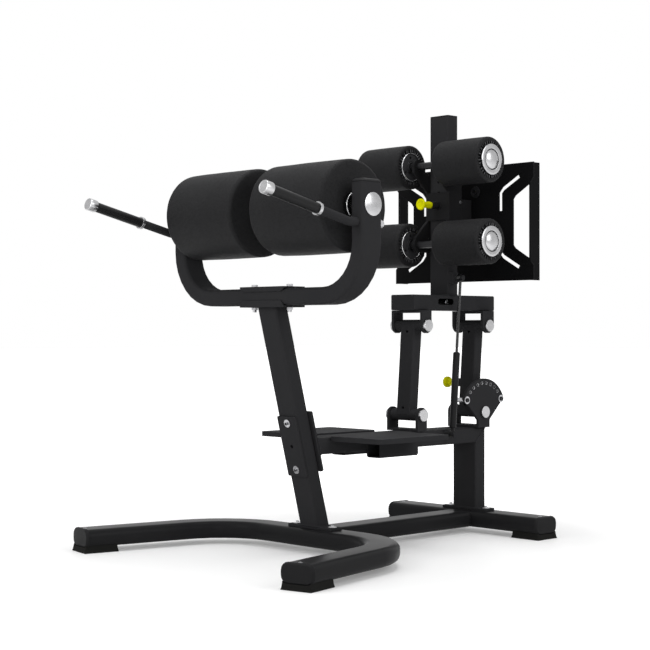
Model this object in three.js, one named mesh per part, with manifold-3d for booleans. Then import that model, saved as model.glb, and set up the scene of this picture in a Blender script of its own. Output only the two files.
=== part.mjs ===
// Glute ham developer: a floor bench with two thigh rollers held in a yoke, and a foot plate with
// four ankle rollers on a mast that swings fore and aft on parallel links. Millimetres, +Z up.
// The origin lies on the floor, on the centre plane, near the middle of the footprint.
// The user faces from -X (thigh rollers) to +X (foot plate). "near" is the -Y side, "far" is +Y.

import * as THREE from 'three';
import { mergeVertices } from 'three/addons/utils/BufferGeometryUtils.js';
import Module from 'manifold-3d';

const wasm = await Module();
wasm.setup();

// Working values shared by all pieces.
const weldTolerance = 0.0005; // vertices closer than this are one
const seatGap = 0.3; // between pieces that touch
const turnGap = 0.6; // round a shaft that turns
const overrun = 4; // how far a cut passes beyond the face it opens
const bite = 1; // how far welded parts run into each other

// Base tubes, flat oval in section.
const baseTubeWidth = 105;
const baseTubeHeight = 54;
const baseTubeRound = 21; // corner radius of the oval
const baseTubeWall = 3;
const baseTubeUnderside = 17;
const baseAxisZ = baseTubeUnderside + baseTubeHeight / 2;
const baseTopZ = baseTubeUnderside + baseTubeHeight;
const frontCrossX = -130;
const frontCornerHalfSpan = 369;
const frontLegEndX = -642;
const frontLegSplay = THREE.MathUtils.degToRad(12);
const frontBendRadius = 225;
const rearTubeX = 585.5;
const rearTubeHalfSpan = 317;

// Domed end caps of the base tubes.
const endCapLength = 10;
const endCapLip = 1.4; // how far the cap stands out round the tube
const endCapInset = 10; // how far the dome draws in at the sides
const endCapDrop = 8; // and at top and bottom
const endCapPlug = 25; // the part pressed into the tube

// Rubber feet.
const footLength = 112;
const footWidth = 98;
const footTaper = 8; // how far the sides draw in toward the top
const footRoundness = 12;
const footFoldHeight = 6;
const footEdge = 1.5;

// Column, a leaning box tube on a flange.
const columnFootX = -129;
const columnWidth = 80;
const columnDepth = 50;
const columnWall = 3;
const columnCorner = 8;
const flangeThickness = 8;
const flangeWidth = 190;
const flangeDepth = 50;
const flangeCorner = 6;
const flangeBoltHalfSpan = 77;
const flangeBoltRadius = 6;
const flangeTopZ = baseTopZ + seatGap + flangeThickness;

// Plates clamped on both faces of the column.
const columnPlateStart = 165; // along the column
const columnPlateLength = 187;
const columnPlateWidth = 80;
const backPlateThickness = 5;
const rearPlateThickness = 8;
const rearPlateWidth = 100;
const columnPlateCorner = 4;
const columnBoltRadius = 6;
const columnBoltInset = 21;

// Yoke that carries the thigh rollers.
const yokeX = -303;
const yokeWidth = 78; // along X
const yokeDepth = 50;
const yokeWall = 3;
const yokeCorner = 11;
const yokeUndersideZ = 742;
const yokeTopZ = 1078;
const yokeArmOuterY = 415;
const yokeBendRadius = 145; // at the tube's centreline
const yokePlugDome = 11;
const yokePlugDepth = 18;

// Clamp channels that hold the yoke on the column.
const clampLength = 192;
const clampWeb = 5;
const clampLip = 3;
const clampLipHeight = 14;
const clampLipChamfer = 14;
const clampBoltHalfSpan = 77;
const clampBoltRadius = 6;
const clampBoltHeadRadius = 10;
const clampBoltHeadHeight = 7;

// Thigh rollers and their axle.
const thighRollerRadius = 133.5;
const thighRollerInnerY = 40;
const thighRollerOuterY = 342;
const axleBelowArmTop = 60.5;
const thighRollerZ = yokeTopZ - axleBelowArmTop;
const thighRollerEdge = 24;
const thighRollerCrown = 1.5;
const thighRollerDraw = 5; // how far the ends draw in toward the axle
const thighAxleRadius = 12.5;
const thighHubRadius = 37.5;
const thighHubDepth = 3;
const axleCapRadius = 33;
const axleCapRim = 2;
const axleCapDome = 5;
const thighSpacerRadius = 22;

// Handles on the yoke's arms.
const handleBarRadius = 12.5;
const handleBelowArmTop = 110;
const handleRootZ = yokeTopZ - handleBelowArmTop;
const handleStraight = 30;
const handleRise = THREE.MathUtils.degToRad(13.5);
const handleBendRadius = 60;
const handleEndX = -680;
const handleGripRadius = 15;
const handleCollarX = -485;
const handleCollarLength = 10;
const handleCollarRadius = 19;
const handleCapLength = 33;
const handleCapRadius = 18.5;
const handleCapEdge = 3;
const handleCapEnd = 6;
const handleTailLength = 5;

// Middle beam and rear post, joined by a mitre.
const beamWidth = 100;
const beamHeight = 50;
const beamWall = 3;
const beamCorner = 6;
const beamUndersideZ = 296.3;
const beamTopZ = beamUndersideZ + beamHeight;
const postDepth = 50.3;
const postFrontX = rearTubeX - postDepth / 2;
const postRearX = postFrontX + postDepth;

// Step platform: one tray on each side of the beam.
const trayFrontX = -117;
const trayRearX = 192;
const trayOuterY = 263;
const traySheet = 4;
const trayLip = 15;
const trayCorner = 14;
const trayTopZ = beamTopZ + traySheet + seatGap;
const bracketFrontX = 46;
const bracketRearX = 218;
const bracketWidth = 56;
const bracketHeight = 58;
const bracketWall = 4;

// Parallel links. Each turns on a lower pivot on the beam and an upper pivot under the carriage.
const frontPivotX = 280;
const rearPivotX = 584;
const lowerPivotZ = 398;
const linkLength = 287.3;
const linkLean = THREE.MathUtils.degToRad(4.39);
const upperPivotShiftX = linkLength * Math.sin(linkLean);
const upperPivotZ = lowerPivotZ + linkLength * Math.cos(linkLean);
const linkWidth = 60;
const linkDepth = 40;
const linkWall = 3;
const linkCorner = 6;
const linkBarrelRadius = 19;
const linkNotch = 7;
const pivotRadius = 10;
const pivotHeadRadius = 20;
const pivotHeadThickness = 9;
const pivotHeadChamfer = 1.5;

// Clevises at the four pivots.
const clevisCheekInner = 57.5;
const clevisCheek = 10;
const clevisCheekOuter = clevisCheekInner + clevisCheek;
const clevisBase = 8;
const frontClevisLength = 44;
const rearClevisLength = 57;
const clevisNose = 25; // from the pivot to the tip of a cheek
const upperBeamUndersideZ = 733.5;

// Sector plate with the swing positions, which is the near cheek of the rear lower clevis.
const sectorRadius = 111;
const sectorHoleRadius = 5.5;
const sectorHoleCircle = 96;
const sectorHoleCount = 8;
const sectorHolePitch = THREE.MathUtils.degToRad(13.1);
const sectorHalfAngle = THREE.MathUtils.degToRad(66);
const sectorTabDrop = 26; // below the pivot, where the straight sides meet the tab
const stopAngle = THREE.MathUtils.degToRad(64.5);
const stopRadius = 6;
const stopReach = 36; // from the inner face of the plate toward the link
const stopHeadRadius = 8;
const stopHeadThickness = 4;

// Carriage: upper beam and mast.
const upperBeamFrontX = 260;
const upperBeamRearX = 656;
const upperBeamWidth = 100;
const upperBeamHeight = 50;
const upperBeamWall = 4;
const upperBeamCorner = 5;
const upperBeamTopZ = upperBeamUndersideZ + upperBeamHeight;
const slotFrontX = 374;
const slotRearX = 452;
const slotHeight = 20;
const slotMidZ = 762;
const mastX = 459;
const mastWidth = 80;
const mastDepth = 50;
const mastWall = 3;
const mastCorner = 6;
const mastCapThickness = 5;
const mastCapPlug = 20;
const mastHoleRadius = 6.8;
const mastHolePitch = 40;
const mastHolesBelow = 1;
const mastHolesAbove = 4;

// Sliding sleeve with the ears that hold the ankle rollers.
const slideGap = 0.8;
const sleevePlate = 10;
const sleeveSheet = 5;
const sleeveInnerY = mastWidth / 2 + slideGap;
const sleeveOuterY = sleeveInnerY + sleevePlate;
const sleeveFrontX = mastX - mastDepth / 2 - slideGap - sleeveSheet;
const sleeveRearX = mastX + mastDepth / 2 + slideGap + sleeveSheet;
const sleeveBottomZ = 925;
const sleeveSideTopZ = 1187;
const mastAboveSleeve = 181;
const mastTopZ = sleeveSideTopZ + mastAboveSleeve;
const sleeveFaceBottomZ = 1030;
const sleeveFaceTopZ = 1121;
const ankleAxisX = 383;
const upperAnkleZ = 1206;
const lowerAnkleZ = 949;
const earRadius = 24;
const earNeckX = 17; // the ear's sloping edge starts this far in front of the axle
const earNeckZ = 22; // and this far above or below it
const carrierFrontOverlap = 1;
const carrierHalfWidth = 42;
const carrierWall = 5;
const carrierBottomZ = 950;
const carrierTopZ = 1100;

// Pull-pin on the front of the sleeve.
const sleevePinZ = 1078;
const pinRadius = 6;
const pinHousingRadius = 12;
const pinHousingLength = 28;
const pinNeckRadius = 12;
const pinNeckLength = 34;
const pinKnobRadius = 20;
const pinKnobLength = 40;
const pinKnobEdge = 5;
const pinKnobEnd = 3;
const pinTipGap = 1; // from a pin's tip to the plate it locks
const pinRestGap = 2;

// Ankle rollers and their axles.
const ankleRollerRadius = 74;
const ankleRollerInnerY = 73;
const ankleRollerOuterY = 264;
const ankleRollerEdge = 20;
const ankleRollerCrown = 1;
const ankleRollerDraw = 4;
const ankleAxleRadius = 12;
const ankleHubRadius = 46;
const ankleHubDepth = 5;
const ankleCapRadius = 49;
const ankleCapRim = 6;
const ankleCapDomeRadius = 32;
const ankleCapDome = 8;

// Foot plate.
const footPlateX = 551.4;
const footPlateSheet = 4;
const footPlateBottomZ = 830;
const footPlateTopZ = 1209;
const footPlateHalfWidth = 302;
const footPlateWaistHalfWidth = 290.5;
const footPlateWaistBottomZ = 892;
const footPlateWaistTopZ = 1147;
const footPlateWaistSlope = 13;
const footPlateFlange = 42;
const footPlateCorner = 3;
const windowOuterY = 284;
const windowInnerY = 219;
const windowOuterHalfHeight = 119;
const windowInnerHalfHeight = 74.5;
const windowKneeY = 228;
const windowKneeHalfHeight = 85.5;
const grooveWidth = 12;
const grooveInnerY = 166.5;
const grooveOuterY = 243;
const grooveStart = 38.5; // above and below the middle of the plate
const grooveKnee = 97;
const grooveBendY = 179;
const grooveBend = 111;
const grooveEnd = 147;

// Pull-pin of the swing, on the far side of the rear link.
const swingPinAngle = sectorHolePitch / 2;
const swingPinHousingLength = 36;
const swingPinHousingRadius = 14;
const swingPinKnobRadius = 17;
const swingPinKnobLength = 24;
const swingPinNeckRadius = 10;
const swingPinNeckLength = 18;
const swingPinBodyRadius = 5;

// Gas spring on the near side.
const springLowerX = 410;
const springLowerZ = 334;
const springUpperX = 450.5;
const springUpperZ = 840;
const springY = -80;
const springBodyRadius = 9.5;
const springBodyLength = 265;
const springBoreRadius = 6.2;
const springBoreFloor = 12;
const springNeckRadius = 6;
const springNeckLength = 18; // from the middle of the eye to the body
const springRodRadius = 4.5;
const springRodInside = 55;
const springEyeRadius = 11;
const springEyeWidth = 14;
const springStudRadius = 5;
const springStudHeadRadius = 9;
const springStudHead = 5;
const springLugWidth = 26;
const springLugHeight = 40;
const springLugDepth = 18;

// Facets round a full circle.
const thighFacets = 32;
const ankleFacets = 24;
const roundFacets = 18;
const smallFacets = 16;
const holeFacets = 12;
const boltFacets = 8;
const cornerFacets = 3;
const innerFacets = 1;

// Finishes.
const powderCoat = { color: 0x2a2a2b, roughness: 0.6, metalness: 0.2 };
const glossCoat = { color: 0x1f1f20, roughness: 0.3, metalness: 0.2 };
const upholstery = { color: 0x38383a, roughness: 0.75, metalness: 0 };
const rubber = { color: 0x1a1a1a, roughness: 0.85, metalness: 0 };
const plastic = { color: 0x1c1c1d, roughness: 0.45, metalness: 0 };
const chrome = { color: 0xd6d6d8, roughness: 0.18, metalness: 1 };
const yellow = { color: 0xe0e000, roughness: 0.45, metalness: 0 };

const point = (x, y) => new THREE.Vector2(x, y);

// Points on an arc, both ends included.
const arc = (x, y, radius, from, to, steps) => Array.from({ length: steps + 1 }, (_, i) => {
  const angle = from + (to - from) * i / steps;
  return point(x + radius * Math.cos(angle), y + radius * Math.sin(angle));
});

const circle = (x, y, radius, facets) => arc(x, y, radius, 0, 2 * Math.PI, facets).slice(0, facets);

const hexagon = (x, y, radius) => circle(x, y, radius, 6);

const rectangle = (x0, y0, x1, y1) => [point(x0, y0), point(x1, y0), point(x1, y1), point(x0, y1)];

// A rectangle with rounded corners round a middle point.
const roundedBox = (x, y, width, height, radius, steps = cornerFacets) => {
  const a = width / 2 - radius;
  const b = height / 2 - radius;
  const quarter = Math.PI / 2;
  return [
    ...arc(x + a, y + b, radius, 0, quarter, steps),
    ...arc(x - a, y + b, radius, quarter, 2 * quarter, steps),
    ...arc(x - a, y - b, radius, 2 * quarter, 3 * quarter, steps),
    ...arc(x + a, y - b, radius, 3 * quarter, 4 * quarter, steps),
  ];
};

// A closed triangle mesh becomes a solid that can be cut and joined.
const toSolid = (geometry) => {
  const bare = new THREE.BufferGeometry();
  bare.setAttribute('position', geometry.getAttribute('position').clone());
  if (geometry.index) bare.setIndex(geometry.index.clone());
  const merged = mergeVertices(bare, weldTolerance);
  const positions = merged.getAttribute('position').array;
  const index = merged.index.array;
  const triangles = [];
  let volume = 0;
  const [a, b, c] = [new THREE.Vector3(), new THREE.Vector3(), new THREE.Vector3()];
  for (let i = 0; i < index.length; i += 3) {
    const [p, q, r] = [index[i], index[i + 1], index[i + 2]];
    if (p === q || q === r || r === p) continue;
    triangles.push([p, q, r]);
    a.fromArray(positions, 3 * p);
    b.fromArray(positions, 3 * q);
    c.fromArray(positions, 3 * r);
    volume += a.dot(b.cross(c));
  }
  if (volume < 0) triangles.forEach((triangle) => triangle.reverse());
  return new wasm.Manifold(new wasm.Mesh({
    numProp: 3,
    vertProperties: new Float32Array(positions),
    triVerts: new Uint32Array(triangles.flat()),
  }));
};

const toGeometry = (solid) => {
  const mesh = solid.getMesh();
  const geometry = new THREE.BufferGeometry();
  geometry.setAttribute('position', new THREE.BufferAttribute(new Float32Array(mesh.vertProperties), mesh.numProp));
  geometry.setIndex(new THREE.BufferAttribute(new Uint32Array(mesh.triVerts), 1));
  geometry.computeVertexNormals();
  return geometry;
};

// How an outline drawn in a plane is stood up along an axis: its first and second coordinate
// become Y and Z along x, X and Z along y, and X and Y along z.
const stand = {
  x: new THREE.Matrix4().makeBasis(
    new THREE.Vector3(0, 1, 0), new THREE.Vector3(0, 0, 1), new THREE.Vector3(1, 0, 0)),
  y: new THREE.Matrix4().makeBasis(
    new THREE.Vector3(1, 0, 0), new THREE.Vector3(0, 0, 1), new THREE.Vector3(0, -1, 0)),
  z: new THREE.Matrix4(),
};

// A prism with an outline, holes, and ends at two places along an axis.
const prism = (outline, axis, from, to, holes = []) => {
  const shape = new THREE.Shape(outline);
  shape.holes = holes.map((hole) => new THREE.Path(hole));
  const geometry = new THREE.ExtrudeGeometry(shape, { depth: to - from, bevelEnabled: false });
  geometry.translate(0, 0, axis === 'y' ? -to : from);
  geometry.applyMatrix4(stand[axis]);
  return toSolid(geometry);
};

// A box tube whose centre line runs along an axis.
const boxTube = (x, y, width, height, corner, wall, axis, from, to) => prism(
  roundedBox(x, y, width, height, corner), axis, from, to,
  [roundedBox(x, y, width - 2 * wall, height - 2 * wall, corner - wall, innerFacets)]);

// A solid of revolution about an axis. The profile is in pairs of place along the axis and radius.
const turned = (profile, axis, facets) => {
  const geometry = new THREE.LatheGeometry(profile.map(([place, radius]) => point(radius, place)), facets);
  if (axis === 'x') geometry.rotateZ(-Math.PI / 2);
  if (axis === 'z') geometry.rotateX(Math.PI / 2);
  return toSolid(geometry);
};

// Rings of equally many points joined into a closed skin.
const loft = (rings) => {
  const count = rings[0].length;
  const index = [];
  for (let level = 0; level + 1 < rings.length; level += 1) {
    for (let i = 0; i < count; i += 1) {
      const j = (i + 1) % count;
      const [p, q] = [level * count + i, level * count + j];
      index.push(p, q, q + count, p, q + count, p + count);
    }
  }
  const last = (rings.length - 1) * count;
  for (let i = 1; i + 1 < count; i += 1) {
    index.push(0, i + 1, i, last, last + i, last + i + 1);
  }
  const geometry = new THREE.BufferGeometry();
  geometry.setFromPoints(rings.flat());
  geometry.setIndex(index);
  return toSolid(geometry);
};

// A path of straight runs joined by arcs, with a ring at each end of a run and along each arc.
class BentPath extends THREE.Curve {
  constructor(corners, radius, steps) {
    super();
    this.rings = [];
    const way = (i) => corners[i + 1].clone().sub(corners[i]).normalize();
    this.rings.push([corners[0].clone(), way(0)]);
    for (let i = 1; i + 1 < corners.length; i += 1) {
      const [before, after] = [way(i - 1), way(i)];
      const angle = before.angleTo(after);
      const hinge = before.clone().cross(after).normalize();
      const start = corners[i].clone().addScaledVector(before, -radius * Math.tan(angle / 2));
      const inward = hinge.clone().cross(before);
      const centre = start.clone().addScaledVector(inward, radius);
      for (let k = 0; k <= steps; k += 1) {
        const turn = angle * k / steps;
        const arm = inward.clone().multiplyScalar(-radius).applyAxisAngle(hinge, turn);
        this.rings.push([centre.clone().add(arm), before.clone().applyAxisAngle(hinge, turn)]);
      }
    }
    this.rings.push([corners.at(-1).clone(), way(corners.length - 2)]);
  }

  ringAt(u) {
    return this.rings[Math.round(u * (this.rings.length - 1))];
  }

  getPointAt(u, target = new THREE.Vector3()) {
    return target.copy(this.ringAt(u)[0]);
  }

  getTangentAt(u, target = new THREE.Vector3()) {
    return target.copy(this.ringAt(u)[1]);
  }
}

const sweep = (outline, path, holes = []) => {
  const shape = new THREE.Shape(outline);
  shape.holes = holes.map((hole) => new THREE.Path(hole));
  return toSolid(new THREE.ExtrudeGeometry(shape, {
    steps: path.rings.length - 1, extrudePath: path, bevelEnabled: false,
  }));
};

const join = (...solids) => solids.reduce((sum, solid) => sum.add(solid));
const cut = (solid, ...tools) => tools.reduce((rest, tool) => rest.subtract(tool), solid);
const farSide = (solid) => solid.mirror([0, 1, 0]);

const machine = new THREE.Group();

// A named piece of one material. Its geometry is in the machine's frame unless a place is given.
const piece = (name, solid, finish, place = [0, 0, 0], turn = 0) => {
  const mesh = new THREE.Mesh(toGeometry(solid), new THREE.MeshStandardMaterial(finish));
  mesh.name = name;
  mesh.position.set(...place);
  mesh.rotation.z = turn;
  machine.add(mesh);
  return mesh;
};

// Base frame

const ovalFacets = (grow) => (grow < 0 ? 2 : 4);
const ovalSection = (grow) => roundedBox(
  0, 0, baseTubeHeight + 2 * grow, baseTubeWidth + 2 * grow, baseTubeRound + grow,
  ovalFacets(grow));
const legRise = Math.tan(frontLegSplay);
const frontLegEndY = frontCornerHalfSpan + (frontCrossX - frontLegEndX) * legRise;
const frontPath = new BentPath([
  new THREE.Vector3(frontLegEndX, -frontLegEndY, baseAxisZ),
  new THREE.Vector3(frontCrossX, -frontCornerHalfSpan, baseAxisZ),
  new THREE.Vector3(frontCrossX, frontCornerHalfSpan, baseAxisZ),
  new THREE.Vector3(frontLegEndX, frontLegEndY, baseAxisZ),
], frontBendRadius, 7);
const flangeBolts = (x, axisZ) => [-1, 1].map((side) => prism(
  circle(x, side * flangeBoltHalfSpan, flangeBoltRadius + seatGap, boltFacets), 'z', axisZ, flangeTopZ + overrun));
piece('front_base_tube', cut(sweep(ovalSection(0), frontPath, [ovalSection(-baseTubeWall)]),
  ...flangeBolts(columnFootX, baseAxisZ)), glossCoat);

const ovalUpright = (x, grow) => roundedBox(
  x, baseAxisZ, baseTubeWidth + 2 * grow, baseTubeHeight + 2 * grow, baseTubeRound + grow,
  ovalFacets(grow));
piece('main_base_tube', cut(
  prism(ovalUpright(0, 0), 'x', frontCrossX, rearTubeX, [ovalUpright(0, -baseTubeWall)]),
  prism(ovalUpright(frontCrossX, seatGap), 'y', -baseTubeWidth, baseTubeWidth),
  prism(ovalUpright(rearTubeX, seatGap), 'y', -baseTubeWidth, baseTubeWidth),
), glossCoat);

const postFlangeX = postFrontX + postDepth / 2 - bite * 4;
piece('rear_base_tube', cut(
  prism(ovalUpright(rearTubeX, 0), 'y', -rearTubeHalfSpan, rearTubeHalfSpan, [ovalUpright(rearTubeX, -baseTubeWall)]),
  ...flangeBolts(postFlangeX, baseAxisZ)), glossCoat);

// End cap: a domed cover with a plug that goes into the tube. It looks along -Y.
const capRing = (y, width, height, round, facets) => roundedBox(0, 0, width, height, round, facets)
  .map((p) => new THREE.Vector3(p.x, y, p.y));
const capDome = Array.from({ length: 4 }, (_, i) => i * Math.PI / 8).map((t) => {
  const [inset, drop] = [endCapInset * (1 - Math.cos(t)), endCapDrop * (1 - Math.cos(t))];
  return capRing(-seatGap - endCapLength * Math.sin(t),
    baseTubeWidth + 2 * (endCapLip - inset), baseTubeHeight + 2 * (endCapLip - drop), baseTubeRound + endCapLip - drop,
    ovalFacets(1));
});
const plugHeight = baseTubeHeight - 2 * (baseTubeWall + seatGap);
const plugWidth = baseTubeWidth - 2 * (baseTubeWall + seatGap);
const plugRound = baseTubeRound - baseTubeWall - seatGap;
const endCap = join(loft(capDome), loft([
  capRing(-seatGap - bite, plugWidth, plugHeight, plugRound, ovalFacets(-1)),
  capRing(endCapPlug, plugWidth, plugHeight, plugRound, ovalFacets(-1)),
]));
for (const [side, sign, turn] of [['near', -1, 0], ['far', 1, Math.PI]]) {
  const legTurn = -Math.PI / 2 + frontLegSplay;
  piece(`front_end_cap_${side}`, endCap, plastic,
    [frontLegEndX, sign * frontLegEndY, baseAxisZ], sign < 0 ? legTurn : -legTurn + Math.PI);
  piece(`rear_end_cap_${side}`, endCap, plastic, [rearTubeX, sign * rearTubeHalfSpan, baseAxisZ], turn);
}

// Rubber foot: a flared block, drawn with its outer end at zero and its length along +Y.
const footRing = (z, grow) => roundedBox(
  0, footLength / 2, footWidth + 2 * grow, footLength + 2 * grow, footRoundness, 3)
  .map((p) => new THREE.Vector3(p.x, p.y, z));
const footTop = baseTubeUnderside - seatGap;
const footOut = endCapLength + footTaper / 2; // how far the foot reaches past the end of the tube
const foot = cut(loft([
  footRing(0, -footEdge),
  footRing(footEdge, 0),
  footRing(footFoldHeight, 0),
  footRing(footTop, -footTaper),
]), prism(rectangle(-footWidth, -overrun, footWidth, footOut + seatGap), 'z', footTop - endCapLip, footTop + overrun));
for (const [side, sign, turn] of [['near', -1, 0], ['far', 1, Math.PI]]) {
  const legTurn = -Math.PI / 2 + frontLegSplay;
  piece(`front_foot_${side}`, foot, rubber,
    [frontLegEndX - footOut * Math.cos(frontLegSplay), sign * (frontLegEndY + footOut * Math.sin(frontLegSplay)), 0],
    sign < 0 ? legTurn : -legTurn + Math.PI);
  piece(`rear_foot_${side}`, foot, rubber, [rearTubeX, sign * (rearTubeHalfSpan + footOut), 0], turn);
}

// Column. It is drawn upright at zero and then leant back toward the yoke.

const clampBottomZ = yokeUndersideZ - seatGap - clampWeb;
const columnHeadZ = clampBottomZ - seatGap;
const columnLean = Math.atan2(columnFootX - yokeX, yokeUndersideZ - flangeTopZ);
const columnLength = (columnHeadZ - flangeTopZ) / Math.cos(columnLean);
const lean = (solid) => solid
  .rotate([0, -THREE.MathUtils.radToDeg(columnLean), 0])
  .translate([columnFootX, 0, flangeTopZ]);
const columnPlateEnd = columnPlateStart + columnPlateLength;
const columnBolts = [
  columnPlateStart + columnBoltInset,
  (columnPlateStart + columnPlateEnd) / 2,
  columnPlateEnd - columnBoltInset,
].map((place) => lean(prism(circle(0, place, columnBoltRadius + seatGap, boltFacets), 'x',
  -columnDepth, columnDepth)));
const columnSpan = columnWidth * 2;
const columnTube = cut(
  lean(boxTube(0, 0, columnDepth, columnWidth, columnCorner, columnWall, 'z', -columnSpan, columnLength + columnSpan)),
  prism(rectangle(columnFootX - columnSpan, -columnSpan, columnFootX + columnSpan, columnSpan),
    'z', -columnSpan, flangeTopZ - bite),
  prism(rectangle(yokeX - columnSpan, -columnSpan, yokeX + columnSpan, columnSpan),
    'z', columnHeadZ, columnHeadZ + 2 * columnSpan),
);
piece('column', cut(
  join(columnTube, prism(roundedBox(columnFootX, 0, flangeDepth, flangeWidth, flangeCorner), 'z',
    baseTopZ + seatGap, flangeTopZ)),
  ...flangeBolts(columnFootX, baseAxisZ),
  ...columnBolts,
), powderCoat);

piece('column_back_plate', cut(
  lean(prism(roundedBox(0, (columnPlateStart + columnPlateEnd) / 2, columnPlateWidth, columnPlateLength,
    columnPlateCorner), 'x', -columnDepth / 2 - seatGap - backPlateThickness, -columnDepth / 2 - seatGap)),
  ...columnBolts,
), powderCoat);

// Middle beam with its end plate on the column and its two platform brackets

const rearPlateInner = columnDepth / 2 + seatGap;
const rearPlateOuter = rearPlateInner + rearPlateThickness;
const rearPlate = lean(prism(roundedBox(0, (columnPlateStart + columnPlateEnd) / 2, rearPlateWidth,
  columnPlateLength, columnPlateCorner), 'x', rearPlateInner, rearPlateOuter));
const mitreReach = postDepth * 2;
const mitreBelow = prism([
  point(postFrontX - mitreReach, beamUndersideZ - mitreReach * beamHeight / postDepth),
  point(postRearX + mitreReach, beamUndersideZ - mitreReach * beamHeight / postDepth),
  point(postRearX + mitreReach, beamTopZ + mitreReach * beamHeight / postDepth),
], 'y', -beamWidth, beamWidth);
const mitreAbove = prism([
  point(postFrontX - mitreReach, beamUndersideZ - mitreReach * beamHeight / postDepth),
  point(postRearX + mitreReach, beamTopZ + mitreReach * beamHeight / postDepth),
  point(postFrontX - mitreReach, beamTopZ + mitreReach * beamHeight / postDepth),
], 'y', -beamWidth, beamWidth).translate([0, 0, -seatGap * Math.SQRT2]);
const bracketTopZ = trayTopZ - trayLip - seatGap;
const bracketMidZ = bracketTopZ - bracketHeight / 2;
const bracket = (sign) => prism(
  roundedBox(sign * (beamWidth + bracketWidth - bite) / 2, bracketMidZ, bracketWidth + bite, bracketHeight, bracketWall + bite, innerFacets),
  'x', bracketFrontX, bracketRearX,
  [roundedBox(sign * (beamWidth + bracketWidth - bite) / 2, bracketMidZ, bracketWidth + bite - 2 * bracketWall,
    bracketHeight - 2 * bracketWall, bite, innerFacets)]);
const beamTube = cut(
  boxTube(0, (beamUndersideZ + beamTopZ) / 2, beamWidth, beamHeight, beamCorner, beamWall, 'x', yokeX, postRearX),
  lean(prism(rectangle(-beamWidth, 0, beamWidth, columnLength), 'x', -columnSpan, rearPlateOuter - bite)),
  mitreBelow,
);

// A stud that an eye of the gas spring turns on, with a boss behind the eye and a head in front.
const springStud = (x, z, faceY) => [
  prism(circle(x, z, springStudRadius, holeFacets), 'y', springY - springEyeWidth / 2 - seatGap - bite, faceY + bite),
  prism(hexagon(x, z, springStudHeadRadius), 'y', springY - springEyeWidth / 2 - seatGap - springStudHead,
    springY - springEyeWidth / 2 - seatGap),
  prism(circle(x, z, springStudHeadRadius, smallFacets), 'y', springY + springEyeWidth / 2 + seatGap, faceY + bite),
];
piece('mid_beam', cut(join(
  beamTube, rearPlate, bracket(-1), bracket(1), ...springStud(springLowerX, springLowerZ, -beamWidth / 2),
), ...columnBolts), powderCoat);

const postFlangeBox = roundedBox(postFlangeX, 0, flangeDepth + bite, flangeWidth, flangeCorner);
piece('rear_post', cut(
  join(
    cut(boxTube(postFrontX + postDepth / 2, 0, postDepth, beamWidth, beamCorner, beamWall, 'z',
      flangeTopZ - bite, beamTopZ), mitreAbove),
    prism(postFlangeBox, 'z', baseTopZ + seatGap, flangeTopZ)),
  ...flangeBolts(postFlangeX, baseAxisZ),
), powderCoat);

// Platform trays

const trayInnerY = beamWidth / 2 + seatGap;
const trayMidX = (trayFrontX + trayRearX) / 2;
const trayMidY = (trayInnerY + trayOuterY) / 2;
const trayLength = trayRearX - trayFrontX;
const trayWidth = trayOuterY - trayInnerY;
const tray = cut(
  prism(roundedBox(trayMidX, -trayMidY, trayLength, trayWidth, trayCorner), 'z', trayTopZ - trayLip, trayTopZ),
  prism(roundedBox(trayMidX, -trayMidY, trayLength - 2 * traySheet, trayWidth - 2 * traySheet,
    trayCorner - traySheet), 'z', trayTopZ - trayLip - overrun, trayTopZ - traySheet),
);
piece('platform_near', tray, powderCoat);
piece('platform_far', farSide(tray), powderCoat);

// Yoke, its clamp and plugs

const yokeArmY = yokeArmOuterY - yokeDepth / 2;
const yokeAxisZ = yokeUndersideZ + yokeDepth / 2;
const yokePath = new BentPath([
  new THREE.Vector3(yokeX, -yokeArmY, yokeTopZ),
  new THREE.Vector3(yokeX, -yokeArmY, yokeAxisZ),
  new THREE.Vector3(yokeX, yokeArmY, yokeAxisZ),
  new THREE.Vector3(yokeX, yokeArmY, yokeTopZ),
], yokeBendRadius, 8);
const yokeSection = (shrink) => roundedBox(
  0, 0, yokeDepth - 2 * shrink, yokeWidth - 2 * shrink, yokeCorner - shrink, shrink > 0 ? innerFacets : cornerFacets);
const clampBoltHoles = [-1, 1].map((side) => prism(
  circle(yokeX, side * clampBoltHalfSpan, clampBoltRadius + seatGap, boltFacets), 'z',
  clampBottomZ - overrun, yokeUndersideZ + yokeDepth + clampWeb + overrun));
piece('yoke', cut(
  sweep(yokeSection(0), yokePath, [yokeSection(yokeWall)]),
  prism(circle(yokeX, thighRollerZ, thighAxleRadius + seatGap, roundFacets), 'y', -yokeArmOuterY - overrun,
    yokeArmOuterY + overrun),
  ...[-1, 1].map((side) => prism(circle(side * yokeArmY, handleRootZ, handleBarRadius + seatGap, smallFacets), 'x',
    yokeX - yokeWidth, yokeX + yokeWidth)),
  ...clampBoltHoles,
), powderCoat);

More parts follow.
